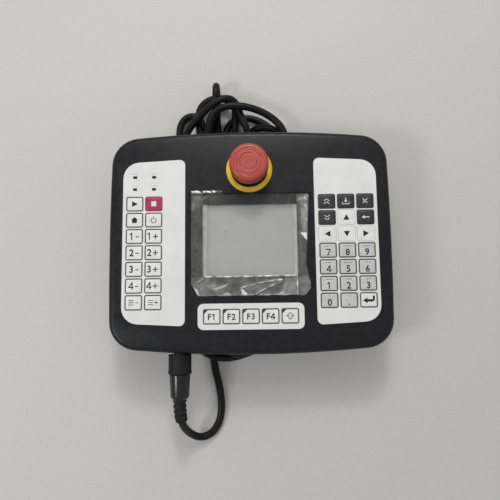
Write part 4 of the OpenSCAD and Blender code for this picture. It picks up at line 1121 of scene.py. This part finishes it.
def film_surface():
    """Points of the sheet with their cover and whiteness, once facets, creases and painted glints are laid on
    it.
    """
    x, y, z, climbing = film_outline()
    veil, rim_and_painted_glint, streaks = smooth_veil(x, y, climbing)
    # a facet lays its cover and whiteness on the sheet, and lifts it a little; a high whiteness is painted
    # reflection
    for cover, white, soft_edge, corners in FACETS:
        mask = within(x, y, corners, soft_edge) * (0.75 + 0.35 * streaks)
        veil += (cover - veil) * mask
        rim_and_painted_glint += (white - rim_and_painted_glint) * mask
        z += 0.25 * white * mask
    # each crease lifts a ridge and paints a white line along it as its highlight
    for k, (x0, y0, x1, y1, half, bright) in enumerate(CREASES):
        way = np.array([x1 - x0, y1 - y0])
        t = np.clip(((x - x0) * way[0] + (y - y0) * way[1]) / way.dot(way), 0, 1)
        away = np.hypot(x - x0 - t * way[0], y - y0 - t * way[1])
        run = t * np.hypot(*way)
        broken = 0.62 + 0.38 * np.sin(run * 0.55 + 2.4 * k) * np.sin(run * 0.23 + k)
        line = bright * broken * np.maximum(1 - away / (half + 0.25), 0)
        z += 0.8 * bright * np.maximum(1 - away / (3.2 * half), 0)
        rim_and_painted_glint, veil = np.maximum(rim_and_painted_glint, line), np.maximum(veil, line)
    # the painted glints: white spots where the sheet bends over the lip
    for gx, gy, wide, tall in PAINTED_GLINTS:
        spot = 1.8 * np.exp(-((x - gx) / wide / 1.15) ** 2 - ((y - gy + 0.25 * (x - gx)) / tall / 1.3) ** 2)
        rim_and_painted_glint, veil = np.maximum(rim_and_painted_glint, spot), np.maximum(veil, spot)
    z = np.minimum(z, FILM_HIGHEST)
    return np.stack([x, y, z], -1).reshape(-1, 3), np.clip(veil, 0, 1).ravel(), np.clip(rim_and_painted_glint, 0, 1).ravel()


def film_material():
    """A thin smeared plastic: veil says how much it covers; the other attribute says how white it is, from the
    lighter rim and the painted glints.
    """
    finish = bpy.data.materials.new("protective film")
    finish.use_nodes = True
    tree = finish.node_tree
    shader = tree.nodes["Principled BSDF"]
    shader.inputs["Roughness"].default_value = 0.16
    veil_node, rim_and_painted_glint_node = (tree.nodes.new("ShaderNodeAttribute") for _ in range(2))
    veil_node.attribute_name, rim_and_painted_glint_node.attribute_name = "veil", "rim_and_painted_glint"
    place = tree.nodes.new("ShaderNodeTexCoord")
    smear = tree.nodes.new("ShaderNodeGroup")
    smear.node_tree = DRIFT
    smear.inputs["Shade"].default_value = (0.27, 0.265, 0.25, 1)
    smear.inputs["Other shade"].default_value = (0.46, 0.455, 0.44, 1)
    smear.inputs["Breadth"].default_value = 130.0
    whiter = tree.nodes.new("ShaderNodeMix")
    whiter.data_type = "RGBA"
    whiter.inputs["B"].default_value = (0.92, 0.92, 0.90, 1)
    patchy = tree.nodes.new("ShaderNodeMapRange")
    patchy.inputs["To Min"].default_value, patchy.inputs["To Max"].default_value = 0.75, 1.2
    thin = tree.nodes.new("ShaderNodeMath")
    thin.operation, thin.use_clamp = "MULTIPLY", True
    for source, target in (
            (place.outputs["Object"], smear.inputs["Vector"]), (smear.outputs["Color"], whiter.inputs["A"]),
            (rim_and_painted_glint_node.outputs["Fac"], whiter.inputs["Factor"]),
            (whiter.outputs["Result"], shader.inputs["Base Color"]),
            (smear.outputs["Mask"], patchy.inputs["Value"]), (patchy.outputs["Result"], thin.inputs[0]),
            (veil_node.outputs["Fac"], thin.inputs[1]), (thin.outputs["Value"], shader.inputs["Alpha"])):
        tree.links.new(source, target)
    return finish


film_points, veil, rim_and_painted_glint = film_surface()
film = new_piece("film_sheet", film_points * MM, grid_quads(*FILM_STEPS, around=False).tolist(),
                 "pendant", film_material(), "film_clear", sharp=180)
for label, values in (("veil", veil), ("rim_and_painted_glint", rim_and_painted_glint)):
    film.data.attributes.new(label, "FLOAT", "POINT").data.foreach_set("value", values)
skin = film.modifiers.new("thickness", "SOLIDIFY")
skin.thickness, skin.offset = 0.05 * MM, 1
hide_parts("display_film")
print("film points", len(film_points), "highest", film_points[:, 2].max())

# %% [markdown]
# ## The stop button
# The red mushroom head is turned: a skirt, a round shoulder and a face with ring grooves. Three
# curved arrows on it say that it is turned to let it out. Below it lies a yellow collar with a
# bare raised plate. The head rides on its own body, because it is both pushed and turned.

# %% Turned pieces about Z
def turned_about_z(name, x, y, profile, sides, body, finish, slot, sharp=30):
    """A profile of (radius, z) pairs in metres turned about Z; if it ends where it began it makes a ring."""
    profile = np.array(profile)
    closed = np.allclose(profile[0], profile[-1])
    angle = np.linspace(0, 2 * np.pi, sides, endpoint=False)
    grid = np.stack([x + profile[:, :1] * np.cos(angle), y + profile[:, :1] * np.sin(angle),
                     np.repeat(profile[:, 1:], sides, 1)], axis=-1)
    faces = tube_faces(len(profile), sides)
    if closed:
        rows = len(profile) - 1
        grid = grid[:-1]
        faces = [[i % (rows * sides) for i in face] for face in faces[:-2]]
    return new_piece(name, grid.reshape(-1, 3), faces, body, finish, slot, sharp=sharp)


def softened(corners, bend):
    """The (radius, z) corners with each inner one replaced by a short curve, bend long to either side."""
    return rounded_profile([(z, r) for r, z in corners], bend)[:, ::-1]


def curved_arrow(inner, outer, start, sweep, thickness):
    """An arrow bent round a centre: a band from start over sweep degrees, then a broader head."""
    a = np.radians(np.linspace(start, start + sweep, 14))
    tail = np.vstack([np.column_stack([inner * np.cos(a), inner * np.sin(a)])[::-1],
                      np.column_stack([outer * np.cos(a), outer * np.sin(a)])])
    middle, grow = (inner + outer) / 2, (outer - inner) * 1.1
    b = math.radians(start + sweep)
    c = b + math.radians(15)
    head = [((middle - grow) * math.cos(b), (middle - grow) * math.sin(b)),
            ((middle + grow) * math.cos(b), (middle + grow) * math.sin(b)),
            (middle * math.cos(c), middle * math.sin(c))]
    return [plate(tail, thickness), plate(head, thickness)]


head_low, head_high = (np.array(c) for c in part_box("stop_head"))
stop_y = (head_low[1] + head_high[1]) / 2
head_r, head_top, head_base = (head_high[0] - head_low[0]) / 2, head_high[2], head_low[2]
head_finish = moulded("stop red", (0.37, 0.048, 0.034), (0.45, 0.073, 0.050), gloss=0.36,
                      gloss_change=0.06, grain=1300.0, depth=0.03, breadth=110.0,
                      dust=(0.62, 0.30, 0.26), dust_level=0.68)
# share of the head's radius, then millimetres above its base or below its top
SKIRT = [(0.80, 0), (0.88, 1.2), (0.93, 3.2), (0.985, 5.0), (1, 7.0)]
GROOVED_FACE = [(1, 4.0), (0.965, 1.5), (0.86, 0.25), (0.77, 0.05), (0.745, 0.55), (0.62, 0.55),
                (0.595, 0.1), (0.47, 0.1), (0.445, 0.5), (0.405, 0.5), (0.38, 0.15), (0.2, 0.3)]
corners = [(0.001, head_base)]
corners += [(head_r * share, head_base + up * MM) for share, up in SKIRT]
corners += [(head_r * share, head_top - down * MM) for share, down in GROOVED_FACE]
corners += [(0.001, head_top - 0.35 * MM)]
head = turned_about_z("stop_mushroom", 0, stop_y, softened(corners, 1.0 * MM), 96, "stop_head",
                      head_finish, "stop_red", sharp=60)
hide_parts("stop_head")
ARROW_RADII, ARROW_START, ARROW_SWEEP = (10.75, 12.35), 25, 62
arrow_parts = [part for k in range(3)
               for part in curved_arrow(*ARROW_RADII, 120 * k + ARROW_START, ARROW_SWEEP, 0.32)]
points, faces = join_meshes(arrow_parts)
arrow_finish = moulded("arrow red", (0.36, 0.045, 0.035), (0.44, 0.07, 0.05), gloss=0.4, depth=0)
new_piece("turn_arrows", points * MM + (0, stop_y, head_top - 0.56 * MM), faces, "stop_head",
          arrow_finish, "stop_red", smooth=False)

collar_low, collar_high = (np.array(c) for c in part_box("stop_collar"))
collar_r, collar_top, collar_base = (collar_high[0] - collar_low[0]) / 2, collar_high[2], collar_low[2]
collar_finish = moulded("collar yellow", (0.72, 0.45, 0.022), (0.84, 0.60, 0.05), gloss=0.36,
                        grain=1300.0, depth=0.02, breadth=90.0, dust=(0.52, 0.42, 0.16), dust_level=0.69)
plate_finish = moulded("bare plate", (0.74, 0.44, 0.06), (0.80, 0.52, 0.12), gloss=0.4, depth=0)
bore, inlay_r = 11.3 * MM, 16.6 * MM
collar = turned_about_z("collar_ring", 0, stop_y, softened([
    (bore, collar_top - 0.8 * MM), (bore, collar_base), (collar_r, collar_base),
    (collar_r, collar_base + 1.5 * MM), (collar_r - 1.2 * MM, collar_top),
    (bore + 2.0 * MM, collar_top), (bore, collar_top - 0.8 * MM)], 0.45 * MM), 96, "pendant",
    collar_finish, "stop_yellow")
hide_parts("stop_collar")
inlay_finish = moulded("collar black", (0.010, 0.010, 0.011), (0.018, 0.018, 0.019), gloss=0.5, depth=0,
                       sockets=dull)
turned_about_z("collar_inlay", 0, stop_y, [
    (bore + 0.1 * MM, collar_top - 1.0 * MM), (inlay_r, collar_top - 0.3 * MM),
    (inlay_r, collar_top + 0.08 * MM), (bore + 2.1 * MM, collar_top + 0.08 * MM),
    (bore + 0.1 * MM, collar_top - 0.7 * MM), (bore + 0.1 * MM, collar_top - 1.0 * MM)], 96,
    "pendant", inlay_finish, "stop_yellow")
a = np.radians(np.linspace(-112, -68, 15))
PLATE_IN, PLATE_OUT = 18.0, 20.35
plate_line = np.vstack([np.column_stack([PLATE_OUT * np.cos(a), PLATE_OUT * np.sin(a)]),
                        np.column_stack([PLATE_IN * np.cos(a), PLATE_IN * np.sin(a)])[::-1]])
points, faces = plate(plate_line, 0.55)
new_piece("collar_plate", points * MM + (0, stop_y, collar_top - 0.35 * MM), faces, "pendant",
          plate_finish, "stop_yellow", smooth=False)
print("stop head radius", head_r, "collar radius", collar_r)

# %% [markdown]
# ## The pieces inside
# The screws, the seal, the board, the switch block and the socket keep their construction
# meshes. Each gets the finish of its own stuff: bright steel, soft rubber, green laminate and
# black plastic.

# %% Finishes of the inner pieces
steel = moulded("screw steel", (0.55, 0.55, 0.54), (0.66, 0.66, 0.65), gloss=0.3, grain=2500.0,
                depth=0.01, sockets={"Metallic": 1.0})
rubber = moulded("seal rubber", (0.02, 0.02, 0.02), gloss=0.7, grain=1800.0, depth=0.03)
laminate = moulded("board laminate", (0.012, 0.11, 0.045), (0.02, 0.16, 0.07), gloss=0.35, depth=0,
                   breadth=500.0)
block_finish = moulded("switch block", (0.02, 0.02, 0.022), gloss=0.4, grain=1500.0, depth=0.02)
socket_finish = moulded("socket black", (0.018, 0.018, 0.02), gloss=0.4, grain=1500.0, depth=0.02)
for name, finish, slot in (
        ("screws", steel, "screw_steel"), ("case_seal", rubber, "seal_rubber"),
        ("main_board", laminate, "board_green"), ("stop_switch_block", block_finish, "switch_black"),
        ("stop_stem", block_finish, "switch_black"), ("cable_socket", socket_finish, "connector_black")):
    dress(nodes[name], finish)
